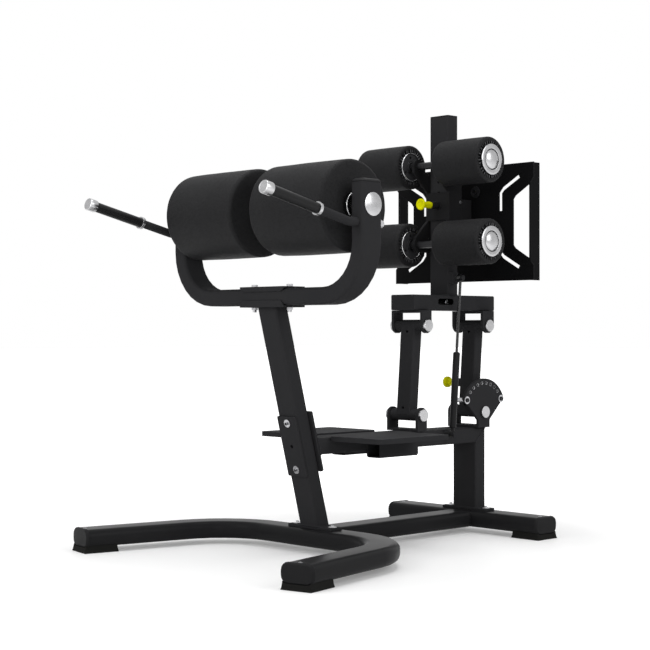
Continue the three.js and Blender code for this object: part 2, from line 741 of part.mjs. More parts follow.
const clampOuter = yokeWidth / 2 + seatGap + clampLip;
const lipEnd = clampLength / 2;
const clampHalf = (webFrom, webTo, lipTo) => cut(
  prism(rectangle(yokeX - clampOuter, Math.min(webFrom, lipTo), yokeX + clampOuter, Math.max(webFrom, lipTo)),
    'y', -lipEnd, lipEnd),
  prism(rectangle(yokeX - yokeWidth / 2 - seatGap, Math.min(webTo, lipTo * 2 - webTo),
    yokeX + yokeWidth / 2 + seatGap, Math.max(webTo, lipTo * 2 - webTo)), 'y', -clampLength, clampLength),
  ...[-1, 1].map((side) => prism([
    point(side * (lipEnd - clampLipChamfer), lipTo),
    point(side * (lipEnd + overrun), webTo + (lipTo - webTo) * -overrun / clampLipChamfer),
    point(side * (lipEnd + overrun), lipTo + (lipTo - webTo)),
    point(side * (lipEnd - clampLipChamfer), lipTo + (lipTo - webTo)),
  ], 'x', yokeX - yokeWidth, yokeX + yokeWidth)),
  ...clampBoltHoles,
);
const yokeTopSideZ = yokeUndersideZ + yokeDepth;
piece('clamp_lower', clampHalf(clampBottomZ, yokeUndersideZ - seatGap, yokeUndersideZ + clampLipHeight), powderCoat);
piece('clamp_upper', clampHalf(yokeTopSideZ + seatGap + clampWeb, yokeTopSideZ + seatGap,
  yokeTopSideZ - clampLipHeight * 2 / 3), powderCoat);

const clampBolt = join(
  prism(circle(0, 0, clampBoltRadius, boltFacets), 'z', clampBottomZ - clampBoltHeadHeight * 2,
    yokeTopSideZ + seatGap * 2 + clampWeb + bite),
  prism(hexagon(0, 0, clampBoltHeadRadius), 'z', yokeTopSideZ + 2 * seatGap + clampWeb,
    yokeTopSideZ + 2 * seatGap + clampWeb + clampBoltHeadHeight),
  prism(hexagon(0, 0, clampBoltHeadRadius), 'z', clampBottomZ - seatGap - clampBoltHeadHeight, clampBottomZ - seatGap),
);
piece('clamp_bolt_near', clampBolt, chrome, [yokeX, -clampBoltHalfSpan, 0]);
piece('clamp_bolt_far', clampBolt, chrome, [yokeX, clampBoltHalfSpan, 0]);

const plugRing = (z, grow, facets = cornerFacets) => roundedBox(
  0, 0, yokeWidth + 2 * grow, yokeDepth + 2 * grow, Math.max(yokeCorner + grow, bite), facets)
  .map((p) => new THREE.Vector3(p.x, p.y, z));
const yokePlug = join(
  loft([
    plugRing(seatGap, 0),
    plugRing(yokePlugDome / 3, 0),
    plugRing(yokePlugDome * 2 / 3, -yokePlugDome / 4),
    plugRing(yokePlugDome, -yokePlugDome * 3 / 4),
  ]),
  loft([
    plugRing(-yokePlugDepth, -yokeWall - seatGap, innerFacets),
    plugRing(seatGap + bite, -yokeWall - seatGap, innerFacets),
  ]),
);
piece('yoke_plug_near', yokePlug, plastic, [yokeX, -yokeArmY, yokeTopZ]);
piece('yoke_plug_far', yokePlug, plastic, [yokeX, yokeArmY, yokeTopZ]);

// Thigh rollers and axle

// A padded roller along Y round the origin: crowned, rounded at the edges, with the cover drawn in
// toward the axle at both ends. The profile closes on itself round the bore.
const paddedRoller = (half, radius, edge, crown, draw, hub, hubDepth, bore, facets) => {
  const edgeArc = (sign) => Array.from({ length: 4 }, (_, i) => i * Math.PI / 6).map((t) => [
    sign * (half - draw - edge + edge * Math.cos(t)),
    radius - crown - edge + edge * Math.sin(t),
  ]);
  const side = (sign) => [
    [sign * (half - hubDepth), bore],
    [sign * (half - hubDepth), hub],
    [sign * half, hub],
    ...edgeArc(sign),
  ];
  return turned([...side(-1), [0, radius], ...side(1).reverse(), [-half + hubDepth, bore]], 'y', facets);
};
const thighRoller = paddedRoller((thighRollerOuterY - thighRollerInnerY) / 2, thighRollerRadius, thighRollerEdge,
  thighRollerCrown, thighRollerDraw, thighHubRadius, thighHubDepth, thighAxleRadius + turnGap, thighFacets);
const thighRollerMidY = (thighRollerOuterY + thighRollerInnerY) / 2;
piece('thigh_roller_near', thighRoller, upholstery, [yokeX, -thighRollerMidY, thighRollerZ]);
piece('thigh_roller_far', thighRoller, upholstery, [yokeX, thighRollerMidY, thighRollerZ]);

const armOuter = yokeArmOuterY + seatGap;
const armInner = yokeArmOuterY - yokeDepth - seatGap;
const spacerInner = thighRollerOuterY + seatGap;
const axleCapProfile = (sign) => [
  [sign * (armOuter + axleCapRim + axleCapDome), 0],
  [sign * (armOuter + axleCapRim + axleCapDome * 0.85), axleCapRadius * 0.4],
  [sign * (armOuter + axleCapRim + axleCapDome * 0.5), axleCapRadius * 0.75],
  [sign * (armOuter + axleCapRim), axleCapRadius],
  [sign * armOuter, axleCapRadius],
  [sign * armOuter, thighAxleRadius],
  [sign * armInner, thighAxleRadius],
  [sign * armInner, thighSpacerRadius],
  [sign * spacerInner, thighSpacerRadius],
  [sign * spacerInner, thighAxleRadius],
];
piece('thigh_axle', turned([...axleCapProfile(-1), ...axleCapProfile(1).reverse()], 'y', roundFacets),
  chrome, [yokeX, 0, thighRollerZ]);

// Handles

const handleTailX = yokeX + yokeWidth / 2 + handleTailLength;
const handleKneeX = yokeX - yokeWidth / 2 - handleStraight;
const handleRun = handleKneeX - handleEndX;
const handleEndZ = handleRootZ + handleRun * Math.tan(handleRise);
const onHandle = (x) => [x, 0, handleRootZ + (handleKneeX - x) * Math.tan(handleRise)];
const alongHandle = (solid) => solid.rotate([0, THREE.MathUtils.radToDeg(handleRise), 0]);
const handleBar = sweep(circle(0, 0, handleBarRadius, smallFacets), new BentPath([
  new THREE.Vector3(handleTailX, 0, handleRootZ),
  new THREE.Vector3(handleKneeX, 0, handleRootZ),
  new THREE.Vector3(handleEndX, 0, handleEndZ),
], handleBendRadius, 3));
const capStart = handleEndX + (handleCapLength - handleCapEnd) * Math.cos(handleRise);
const gripLength = (handleCollarX - capStart) / Math.cos(handleRise) - handleCollarLength;
const gripTube = alongHandle(turned([
  [0, handleBarRadius + seatGap], [0, handleGripRadius], [gripLength, handleGripRadius],
  [gripLength, handleBarRadius + seatGap], [0, handleBarRadius + seatGap],
], 'x', smallFacets));
const collar = alongHandle(turned([
  [0, handleBarRadius + seatGap], [0, handleCollarRadius], [handleCollarLength - 2 * seatGap, handleCollarRadius],
  [handleCollarLength - 2 * seatGap, handleBarRadius + seatGap], [0, handleBarRadius + seatGap],
], 'x', roundFacets));
const handleCap = alongHandle(turned([
  [-handleCapEnd, 0], [-handleCapEnd, handleCapRadius - handleCapEdge],
  [-handleCapEnd + handleCapEdge, handleCapRadius], [handleCapLength - handleCapEnd, handleCapRadius],
  [handleCapLength - handleCapEnd, handleBarRadius + seatGap], [-seatGap, handleBarRadius + seatGap], [-seatGap, 0],
], 'x', roundFacets));
const gripStart = onHandle(capStart + seatGap);
const collarStart = onHandle(handleCollarX - (handleCollarLength - 2 * seatGap) * Math.cos(handleRise));
for (const [side, y] of [['near', -yokeArmY], ['far', yokeArmY]]) {
  piece(`handle_bar_${side}`, handleBar, powderCoat, [0, y, 0]);
  piece(`handle_grip_${side}`, gripTube, rubber, [gripStart[0], y, gripStart[2]]);
  piece(`handle_collar_${side}`, collar, chrome, [collarStart[0], y, collarStart[2]]);
  piece(`handle_cap_${side}`, handleCap, chrome, [handleEndX, y, handleEndZ]);
}

// Clevises, sector plate and pivots

const beamSeatZ = beamTopZ + seatGap;
const cheek = (x, baseZ, pivotZ, length, from, to) => {
  const nose = clevisNose - length / 2;
  const up = Math.sign(pivotZ - baseZ);
  const tip = arc(x, pivotZ + up * nose, length / 2, 0, up * Math.PI, 7);
  return prism([point(x - length / 2, baseZ), point(x + length / 2, baseZ), ...tip], 'y', from, to);
};
const pivotHole = (x, z) => prism(circle(x, z, pivotRadius + seatGap, smallFacets), 'y',
  -clevisCheekOuter - overrun, clevisCheekOuter + overrun);
const clevis = (x, baseZ, pivotZ, length, cheekSides = [-1, 1]) => {
  const up = Math.sign(pivotZ - baseZ);
  const top = baseZ + up * clevisBase;
  const cheeks = cheekSides.map((side) => cheek(x, top - up * bite, pivotZ, length,
    Math.min(side * clevisCheekInner, side * clevisCheekOuter), Math.max(side * clevisCheekInner, side * clevisCheekOuter)));
  return cut(join(prism(rectangle(x - length / 2, -clevisCheekOuter, x + length / 2, clevisCheekOuter), 'z',
    Math.min(baseZ, top), Math.max(baseZ, top)), ...cheeks), pivotHole(x, pivotZ));
};
piece('front_lower_clevis', clevis(frontPivotX, beamSeatZ, lowerPivotZ, frontClevisLength), powderCoat);

const upright = Math.PI / 2;
const onSector = (angle, radius) => [
  rearPivotX + radius * Math.sin(angle), lowerPivotZ + radius * Math.cos(angle)];
const sectorOutline = [
  point(rearPivotX - rearClevisLength / 2, beamSeatZ + clevisBase - bite),
  point(rearPivotX + rearClevisLength / 2, beamSeatZ + clevisBase - bite),
  point(rearPivotX + rearClevisLength / 2, lowerPivotZ - sectorTabDrop),
  ...arc(rearPivotX, lowerPivotZ, sectorRadius, upright - sectorHalfAngle, upright + sectorHalfAngle, 30),
  point(rearPivotX - rearClevisLength / 2, lowerPivotZ - sectorTabDrop),
];
const sectorHoles = Array.from({ length: sectorHoleCount }, (_, i) => {
  const angle = (i - (sectorHoleCount - 1) / 2) * sectorHolePitch;
  return prism(circle(...onSector(angle, sectorHoleCircle), sectorHoleRadius, holeFacets), 'y',
    -clevisCheekOuter - overrun, -clevisCheekInner + overrun);
});
const sectorStops = [-1, 1].flatMap((side) => {
  const place = onSector(side * stopAngle, sectorHoleCircle);
  return [
    prism(circle(...place, stopRadius, holeFacets), 'y', -clevisCheekInner - bite, -clevisCheekInner + stopReach),
    prism(hexagon(...place, stopHeadRadius), 'y', -clevisCheekOuter - stopHeadThickness, -clevisCheekOuter + bite),
  ];
});
piece('rear_lower_clevis', cut(join(
  clevis(rearPivotX, beamSeatZ, lowerPivotZ, rearClevisLength, [1]),
  prism(sectorOutline, 'y', -clevisCheekOuter, -clevisCheekInner),
  ...sectorStops,
), ...sectorHoles, pivotHole(rearPivotX, lowerPivotZ)), powderCoat);

const upperSeatZ = upperBeamUndersideZ - seatGap;
const frontUpperX = frontPivotX + upperPivotShiftX;
const rearUpperX = rearPivotX + upperPivotShiftX;
piece('front_upper_clevis', clevis(frontUpperX, upperSeatZ, upperPivotZ, frontClevisLength), powderCoat);
piece('rear_upper_clevis', clevis(rearUpperX, upperSeatZ, upperPivotZ, rearClevisLength), powderCoat);

const pivotFace = clevisCheekOuter + seatGap;
const pivotEnd = (sign) => [
  [sign * (pivotFace + pivotHeadThickness), 0],
  [sign * (pivotFace + pivotHeadThickness), pivotHeadRadius - pivotHeadChamfer],
  [sign * (pivotFace + pivotHeadThickness - pivotHeadChamfer), pivotHeadRadius],
  [sign * pivotFace, pivotHeadRadius],
  [sign * pivotFace, pivotRadius],
];
const pivotPin = turned([...pivotEnd(-1), ...pivotEnd(1).reverse()], 'y', smallFacets);
piece('front_lower_pivot', pivotPin, chrome, [frontPivotX, 0, lowerPivotZ]);
piece('rear_lower_pivot', pivotPin, chrome, [rearPivotX, 0, lowerPivotZ]);
piece('front_upper_pivot', pivotPin, chrome, [frontUpperX, 0, upperPivotZ]);
piece('rear_upper_pivot', pivotPin, chrome, [rearUpperX, 0, upperPivotZ]);

// Links. Each is drawn upright from its lower pivot at zero, then leant.

const barrelHalf = clevisCheekInner - turnGap;
const linkNotchAt = (z, up) => [-1, 1].map((side) => prism([
  point(-linkNotch, z), point(linkNotch, z), point(0, z + up * linkNotch * 1.5),
], 'x', side * linkDepth / 2 - overrun, side * linkDepth / 2 + overrun));
const pinAt = (angle) => [sectorHoleCircle * Math.sin(angle), sectorHoleCircle * Math.cos(angle)];
const swingPinPlace = pinAt(swingPinAngle - linkLean);
const linkBody = (extra) => {
  const tube = cut(
    boxTube(0, 0, linkDepth, linkWidth, linkCorner, linkWall, 'z', 0, linkLength),
    ...linkNotchAt(linkBarrelRadius - bite, 1),
    ...linkNotchAt(linkLength - linkBarrelRadius + bite, -1),
  );
  const barrels = [0, linkLength].map((z) => prism(circle(0, z, linkBarrelRadius, roundFacets), 'y', -barrelHalf, barrelHalf));
  const bores = [0, linkLength].map((z) => prism(circle(0, z, pivotRadius + turnGap, smallFacets), 'y',
    -clevisCheekOuter, clevisCheekOuter));
  return cut(join(tube, ...barrels, ...extra), ...bores);
};
const leanLink = (solid, x) => solid.rotate([0, THREE.MathUtils.radToDeg(linkLean), 0]).translate([x, 0, lowerPivotZ]);
piece('front_link', leanLink(linkBody([]), frontPivotX), powderCoat);
const housingEnd = linkWidth / 2 + swingPinHousingLength;
piece('rear_link', leanLink(cut(
  linkBody([prism(circle(...swingPinPlace, swingPinHousingRadius, smallFacets), 'y', linkWidth / 2 - bite, housingEnd)]),
  prism(circle(...swingPinPlace, swingPinBodyRadius + seatGap, holeFacets), 'y', -linkWidth, housingEnd + overrun),
), rearPivotX), powderCoat);

// The swing's pull-pin passes through the link. It is drawn pulled, its tip just clear of the hole
// of the sector plate that it drops into.
const neckStart = housingEnd + pinRestGap;
const knobStart = neckStart + swingPinNeckLength;
const swingPin = turned([
  [-clevisCheekInner + pinTipGap, 0],
  [-clevisCheekInner + pinTipGap, swingPinBodyRadius],
  [neckStart, swingPinBodyRadius],
  [neckStart, swingPinNeckRadius],
  [knobStart, swingPinNeckRadius],
  [knobStart, swingPinKnobRadius],
  [knobStart + swingPinKnobLength - pinKnobEnd, swingPinKnobRadius],
  [knobStart + swingPinKnobLength, swingPinKnobRadius - pinKnobEdge],
  [knobStart + swingPinKnobLength, 0],
], 'y', smallFacets);
const [swingPinX, swingPinZ] = onSector(swingPinAngle, sectorHoleCircle);
piece('swing_pull_pin', swingPin, yellow, [swingPinX, 0, swingPinZ]);

// Carriage: upper beam, mast and cap

const upperMidZ = (upperBeamUndersideZ + upperBeamTopZ) / 2;
piece('upper_beam', cut(
  prism(roundedBox(0, upperMidZ, upperBeamWidth, upperBeamHeight, upperBeamCorner), 'x', upperBeamFrontX, upperBeamRearX),
  prism(roundedBox(0, upperMidZ, upperBeamWidth - 2 * upperBeamWall, upperBeamHeight - 2 * upperBeamWall, bite), 'x',
    upperBeamFrontX + upperBeamWall, upperBeamRearX - upperBeamWall),
  prism(roundedBox((slotFrontX + slotRearX) / 2, slotMidZ, slotRearX - slotFrontX, slotHeight, slotHeight / 2 - weldTolerance),
    'y', -upperBeamWidth, 0),
), powderCoat);

const mastHoles = Array.from({ length: mastHolesBelow + mastHolesAbove + 1 }, (_, i) => prism(
  circle(0, sleevePinZ + (i - mastHolesBelow) * mastHolePitch, mastHoleRadius, holeFacets), 'x',
  mastX - mastDepth, mastX));
const springLug = prism(roundedBox(springUpperX, springUpperZ, springLugWidth, springLugHeight, springStudRadius), 'y',
  -mastWidth / 2 - springLugDepth, -mastWidth / 2 + bite);
piece('mast', cut(join(
  boxTube(mastX, 0, mastDepth, mastWidth, mastCorner, mastWall, 'z', upperBeamTopZ + seatGap, mastTopZ),
  springLug,
  ...springStud(springUpperX, springUpperZ, -mastWidth / 2 - springLugDepth),
), ...mastHoles), powderCoat);

piece('mast_cap', join(
  prism(roundedBox(mastX, 0, mastDepth, mastWidth, mastCorner), 'z', mastTopZ + seatGap,
    mastTopZ + seatGap + mastCapThickness),
  prism(roundedBox(mastX, 0, mastDepth - 2 * (mastWall + seatGap), mastWidth - 2 * (mastWall + seatGap),
    mastCorner - mastWall, innerFacets), 'z', mastTopZ - mastCapPlug, mastTopZ + seatGap + bite),
), plastic);

// Sleeve, slid on the mast, with ears for the ankle rollers and a carrier for the foot plate

const earOutline = [
  point(sleeveRearX, sleeveBottomZ),
  point(sleeveRearX, sleeveSideTopZ),
  point(ankleAxisX + earRadius, sleeveSideTopZ),
  ...arc(ankleAxisX, upperAnkleZ, earRadius, 0, Math.PI, 10),
  point(ankleAxisX - earRadius, upperAnkleZ - earNeckZ),
  point(sleeveFrontX, sleeveFaceTopZ),
  point(sleeveFrontX, sleeveFaceBottomZ),
  point(ankleAxisX - earNeckX, lowerAnkleZ + earNeckZ),
  ...arc(ankleAxisX, lowerAnkleZ, earRadius, 3 * Math.PI / 4, 3 * Math.PI / 2, 8),
];
const earPlates = [-1, 1].map((side) => prism(earOutline, 'y',
  Math.min(side * sleeveInnerY, side * sleeveOuterY), Math.max(side * sleeveInnerY, side * sleeveOuterY)));
const ankleHole = (z) => prism(circle(ankleAxisX, z, ankleAxleRadius + seatGap, smallFacets), 'y',
  -sleeveOuterY - overrun, sleeveOuterY + overrun);
const sleeveHalf = sleeveInnerY + bite;
const housingStart = sleeveFrontX - pinHousingLength;
piece('sleeve', cut(join(
  ...earPlates,
  prism(rectangle(-sleeveHalf, sleeveFaceBottomZ, sleeveHalf, sleeveFaceTopZ), 'x',
    sleeveFrontX, sleeveFrontX + sleeveSheet),
  prism(rectangle(-sleeveHalf, sleeveBottomZ, sleeveHalf, sleeveSideTopZ), 'x', sleeveRearX - sleeveSheet, sleeveRearX),
  prism(rectangle(sleeveRearX - carrierFrontOverlap, -carrierHalfWidth, footPlateX - footPlateSheet / 2 - seatGap,
    carrierHalfWidth), 'z', carrierBottomZ, carrierTopZ,
    [rectangle(sleeveRearX + carrierWall, -carrierHalfWidth + carrierWall,
      footPlateX - footPlateSheet / 2 - seatGap - carrierWall, carrierHalfWidth - carrierWall)]),
  prism(circle(0, sleevePinZ, pinHousingRadius, smallFacets), 'x', housingStart, sleeveFrontX + bite),
), ankleHole(upperAnkleZ), ankleHole(lowerAnkleZ),
prism(circle(0, sleevePinZ, pinRadius + seatGap, holeFacets), 'x', housingStart - overrun, sleeveFrontX + 2 * sleeveSheet),
), glossCoat);

const pinTip = mastX - mastDepth / 2 - pinTipGap;
const neckFront = housingStart - pinRestGap;
const knobRear = neckFront - pinNeckLength;
piece('height_pull_pin', turned([
  [pinTip, 0],
  [pinTip, pinRadius],
  [neckFront, pinRadius],
  [neckFront, pinNeckRadius],
  [knobRear, pinNeckRadius],
  [knobRear, pinKnobRadius],
  [knobRear - pinKnobLength + pinKnobEnd, pinKnobRadius],
  [knobRear - pinKnobLength, pinKnobRadius - pinKnobEdge],
  [knobRear - pinKnobLength, 0],
], 'x', smallFacets), yellow, [0, 0, sleevePinZ]);

// Ankle rollers and axles

const ankleMidY = (ankleRollerOuterY + ankleRollerInnerY) / 2;
const ankleRoller = paddedRoller((ankleRollerOuterY - ankleRollerInnerY) / 2, ankleRollerRadius, ankleRollerEdge,
  ankleRollerCrown, ankleRollerDraw, ankleHubRadius, ankleHubDepth, ankleAxleRadius + turnGap, ankleFacets);
const ankleCapFace = ankleRollerOuterY + turnGap;
const ankleAxleEnd = (sign) => [
  [sign * (ankleCapFace + ankleCapRim + ankleCapDome), 0],
  [sign * (ankleCapFace + ankleCapRim + ankleCapDome * 0.9), ankleCapDomeRadius * 0.45],
  [sign * (ankleCapFace + ankleCapRim + ankleCapDome * 0.5), ankleCapDomeRadius * 0.85],
  [sign * (ankleCapFace + ankleCapRim), ankleCapDomeRadius],
  [sign * (ankleCapFace + ankleCapRim), ankleCapRadius - ankleCapRim / 2],
  [sign * (ankleCapFace + ankleCapRim / 2), ankleCapRadius],
  [sign * ankleCapFace, ankleCapRadius],
  [sign * ankleCapFace, ankleAxleRadius],
];
const ankleAxle = turned([...ankleAxleEnd(-1), ...ankleAxleEnd(1).reverse()], 'y', roundFacets);
for (const [level, z] of [['upper', upperAnkleZ], ['lower', lowerAnkleZ]]) {
  piece(`${level}_ankle_axle`, ankleAxle, chrome, [ankleAxisX, 0, z]);
  piece(`${level}_ankle_roller_near`, ankleRoller, upholstery, [ankleAxisX, -ankleMidY, z]);
  piece(`${level}_ankle_roller_far`, ankleRoller, upholstery, [ankleAxisX, ankleMidY, z]);
}

// Foot plate

const plateMidZ = (footPlateBottomZ + footPlateTopZ) / 2;
const plateSide = (sign) => [
  point(sign * footPlateHalfWidth, footPlateBottomZ),
  point(sign * footPlateHalfWidth, footPlateWaistBottomZ - footPlateWaistSlope),
  point(sign * footPlateWaistHalfWidth, footPlateWaistBottomZ),
  point(sign * footPlateWaistHalfWidth, footPlateWaistTopZ),
  point(sign * footPlateHalfWidth, footPlateWaistTopZ + footPlateWaistSlope),
  point(sign * footPlateHalfWidth, footPlateTopZ),
];
const windowOutline = (sign) => [
  point(sign * windowOuterY, plateMidZ - windowOuterHalfHeight),
  point(sign * windowOuterY, plateMidZ + windowOuterHalfHeight),
  point(sign * windowKneeY, plateMidZ + windowKneeHalfHeight),
  point(sign * windowInnerY, plateMidZ + windowInnerHalfHeight),
  point(sign * windowInnerY, plateMidZ - windowInnerHalfHeight),
  point(sign * windowKneeY, plateMidZ - windowKneeHalfHeight),
];
// A groove follows a bent line. Its outline is that line set off to both sides.
const grooveLine = [
  [grooveInnerY, grooveStart], [grooveInnerY, grooveKnee], [grooveBendY, grooveBend], [grooveOuterY, grooveEnd]];
const grooveOutline = (sideY, sideZ) => {
  const line = grooveLine.map(([y, z]) => point(sideY * y, plateMidZ + sideZ * z));
  const offset = (way) => line.map((p, i) => {
    const before = line[Math.max(i - 1, 0)];
    const after = line[Math.min(i + 1, line.length - 1)];
    const along = after.clone().sub(before).normalize();
    return point(p.x - along.y * way * grooveWidth / 2, p.y + along.x * way * grooveWidth / 2);
  });
  return [...offset(1), ...offset(-1).reverse()];
};
const sheetFrontX = footPlateX - footPlateSheet / 2;
const sheetRearX = footPlateX + footPlateSheet / 2;
const flangeOuterY = footPlateWaistHalfWidth;
const openings = [-1, 1].flatMap((side) => [windowOutline(side), grooveOutline(side, -1), grooveOutline(side, 1)]);
piece('foot_plate', join(
  cut(prism([...plateSide(1), ...plateSide(-1).reverse()], 'x', sheetFrontX, sheetRearX),
    ...openings.map((outline) => prism(outline, 'x', sheetFrontX - overrun, sheetRearX + overrun))),
  ...[-1, 1].map((side) => prism(rectangle(
    sheetFrontX, Math.min(side * flangeOuterY, side * (flangeOuterY - footPlateSheet)),
    sheetRearX + footPlateFlange, Math.max(side * flangeOuterY, side * (flangeOuterY - footPlateSheet))),
  'z', footPlateBottomZ, footPlateTopZ)),
), powderCoat);

// Gas spring. Cylinder and rod are drawn along +Z from the lower eye, then leant.

const springSpan = Math.hypot(springUpperX - springLowerX, springUpperZ - springLowerZ);
const springLean = Math.atan2(springUpperX - springLowerX, springUpperZ - springLowerZ);
const leanSpring = (solid) => solid
  .rotate([0, THREE.MathUtils.radToDeg(springLean), 0])
  .translate([springLowerX, springY, springLowerZ]);
const eye = (z) => prism(circle(0, z, springEyeRadius, smallFacets), 'y', -springEyeWidth / 2, springEyeWidth / 2);
const eyeHole = (z) => prism(circle(0, z, springStudRadius + seatGap, holeFacets), 'y', -springEyeWidth, springEyeWidth);
piece('gas_spring_cylinder', leanSpring(cut(
  join(
    prism(circle(0, 0, springBodyRadius, smallFacets), 'z', springNeckLength, springBodyLength),
    prism(circle(0, 0, springNeckRadius, holeFacets), 'z', springEyeRadius / 2, springNeckLength + bite),
    eye(0),
  ),
  prism(circle(0, 0, springBoreRadius, holeFacets), 'z', springNeckLength + springBoreFloor, springBodyLength + overrun),
  eyeHole(0),
)), powderCoat);
piece('gas_spring_rod', leanSpring(cut(
  join(prism(circle(0, 0, springRodRadius, holeFacets), 'z', springBodyLength - springRodInside,
    springSpan - springEyeRadius / 2), eye(springSpan)),
  eyeHole(springSpan),
)), plastic);

export default machine;
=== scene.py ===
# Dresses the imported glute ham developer: a black steel floor bench with thigh rollers, a swinging
# mast and four ankle rollers. "near" is the -Y side, "far" is +Y. Sizes here are in millimetres.
import math
import random

import bmesh
import bpy
from mathutils import Matrix, Vector, noise


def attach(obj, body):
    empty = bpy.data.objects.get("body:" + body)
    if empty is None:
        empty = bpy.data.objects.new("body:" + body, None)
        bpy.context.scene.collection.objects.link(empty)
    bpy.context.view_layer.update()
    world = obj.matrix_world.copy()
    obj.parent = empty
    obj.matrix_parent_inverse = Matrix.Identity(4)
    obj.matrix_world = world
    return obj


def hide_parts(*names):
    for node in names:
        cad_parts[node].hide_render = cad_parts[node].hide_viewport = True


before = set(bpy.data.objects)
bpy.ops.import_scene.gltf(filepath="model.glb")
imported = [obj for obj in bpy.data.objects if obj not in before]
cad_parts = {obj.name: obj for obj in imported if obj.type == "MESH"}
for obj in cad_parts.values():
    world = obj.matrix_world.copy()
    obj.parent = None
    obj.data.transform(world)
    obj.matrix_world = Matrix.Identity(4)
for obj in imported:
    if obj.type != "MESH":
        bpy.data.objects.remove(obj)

for startupName in ("Cube", "Light", "Camera"):  # what the empty file brings along
    startupObject = bpy.data.objects.get(startupName)
    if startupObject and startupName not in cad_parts:
        bpy.data.objects.remove(startupObject)
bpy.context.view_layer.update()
print("frame loaded")

mm = 0.001
xAxis, yAxis, zAxis = Vector((1, 0, 0)), Vector((0, 1, 0)), Vector((0, 0, 1))


# Camera and light

cameraView = {
    "place": (-3322.0, -3350.6, 672.0),
    "heading": 45.995,  # degrees from +X toward +Y
    "pitch": 0.164,
    "lens": 84.604,
    "sensor": 36.0,
}
heading, pitch = math.radians(cameraView["heading"]), math.radians(cameraView["pitch"])
lookAlong = Vector((math.cos(heading) * math.cos(pitch), math.sin(heading) * math.cos(pitch),
    math.sin(pitch)))
camera = bpy.data.objects.new("camera", bpy.data.cameras.new("camera"))
camera.data.lens = cameraView["lens"]
camera.data.sensor_width = cameraView["sensor"]
camera.data.clip_start, camera.data.clip_end = 0.05, 200
camera.location = Vector(cameraView["place"]) * mm
camera.rotation_euler = lookAlong.to_track_quat("-Z", "Y").to_euler()
bpy.context.scene.collection.objects.link(camera)
bpy.context.scene.camera = camera
bpy.context.scene.view_settings.view_transform = "Standard"

softboxes = {  # place and target in metres, size in metres, power in watts
    "overhead": {"place": (-0.3, -0.3, 4.2), "target": (0, 0, 0.6), "size": (2.8, 2.8), "power": 96},
    "left": {"place": (-4.2, 0.6, 2.6), "target": (0, 0, 0.7), "size": (2.6, 2.6), "power": 68},
    "right": {"place": (0.8, -4.4, 2.6), "target": (0, 0, 0.7), "size": (2.6, 2.6), "power": 68},
    "front": {"place": (-5.2, -5.2, 2.2), "target": (0, 0, 0.7), "size": (1.5, 1.5), "power": 60},
}
for boxName, box in softboxes.items():
    lamp = bpy.data.lights.new(boxName, "AREA")
    lamp.shape = "RECTANGLE"
    lamp.size, lamp.size_y = box["size"]
    lamp.energy = box["power"]
    lampObject = bpy.data.objects.new(boxName, lamp)
    lampObject.location = box["place"]
    lampAim = Vector(box["target"]) - lampObject.location
    lampObject.rotation_euler = lampAim.to_track_quat("-Z", "Y").to_euler()
    bpy.context.scene.collection.objects.link(lampObject)


# Materials

def linear(hexCode):  # an sRGB hex value as linear colour
    channels = [int(hexCode[i:i + 2], 16) / 255 for i in (1, 3, 5)]
    return tuple(c / 12.92 if c <= 0.04045 else ((c + 0.055) / 1.055) ** 2.4 for c in channels) + (1.0,)


# A node with its settings, values and links. A node given as an input stands for its first output, and
# a list links several to one socket.
def addNode(tree, kind, inputs=None, **settings):
    node = tree.nodes.new(kind)
    for key, value in settings.items():
        setattr(node, key, value)
    for key, value in (inputs or {}).items():
        for source in value if isinstance(value, list) else [value]:
            if isinstance(source, bpy.types.Node):
                source = next(socket for socket in source.outputs if socket.enabled)
            if isinstance(source, bpy.types.NodeSocket):
                tree.links.new(source, node.inputs[key])
            else:
                node.inputs[key].default_value = source
    return node


def startMaterial(name):
    material = bpy.data.materials.new(name)
    material.use_nodes = True
    material.node_tree.nodes.clear()
    return material, material.node_tree


def perMetre(pitchInMm):  # the texture scale that repeats once in this many millimetres
    return 1000 / pitchInMm


def seenDirectly(tree):  # 1 for the rays that show the white surroundings: camera, glossy and transmission
    rays = addNode(tree, "ShaderNodeLightPath")
    seen = addNode(tree, "ShaderNodeMath", {0: rays.outputs["Is Camera Ray"],
        1: rays.outputs["Is Glossy Ray"]}, operation="MAXIMUM")
    return addNode(tree, "ShaderNodeMath", {0: seen, 1: rays.outputs["Is Transmission Ray"]},
        operation="MAXIMUM")


# The painted edge highlight starts, and is full, where the rounded and the flat normal part by these cosines
edgeHighlightCosines = (0.99, 0.86)
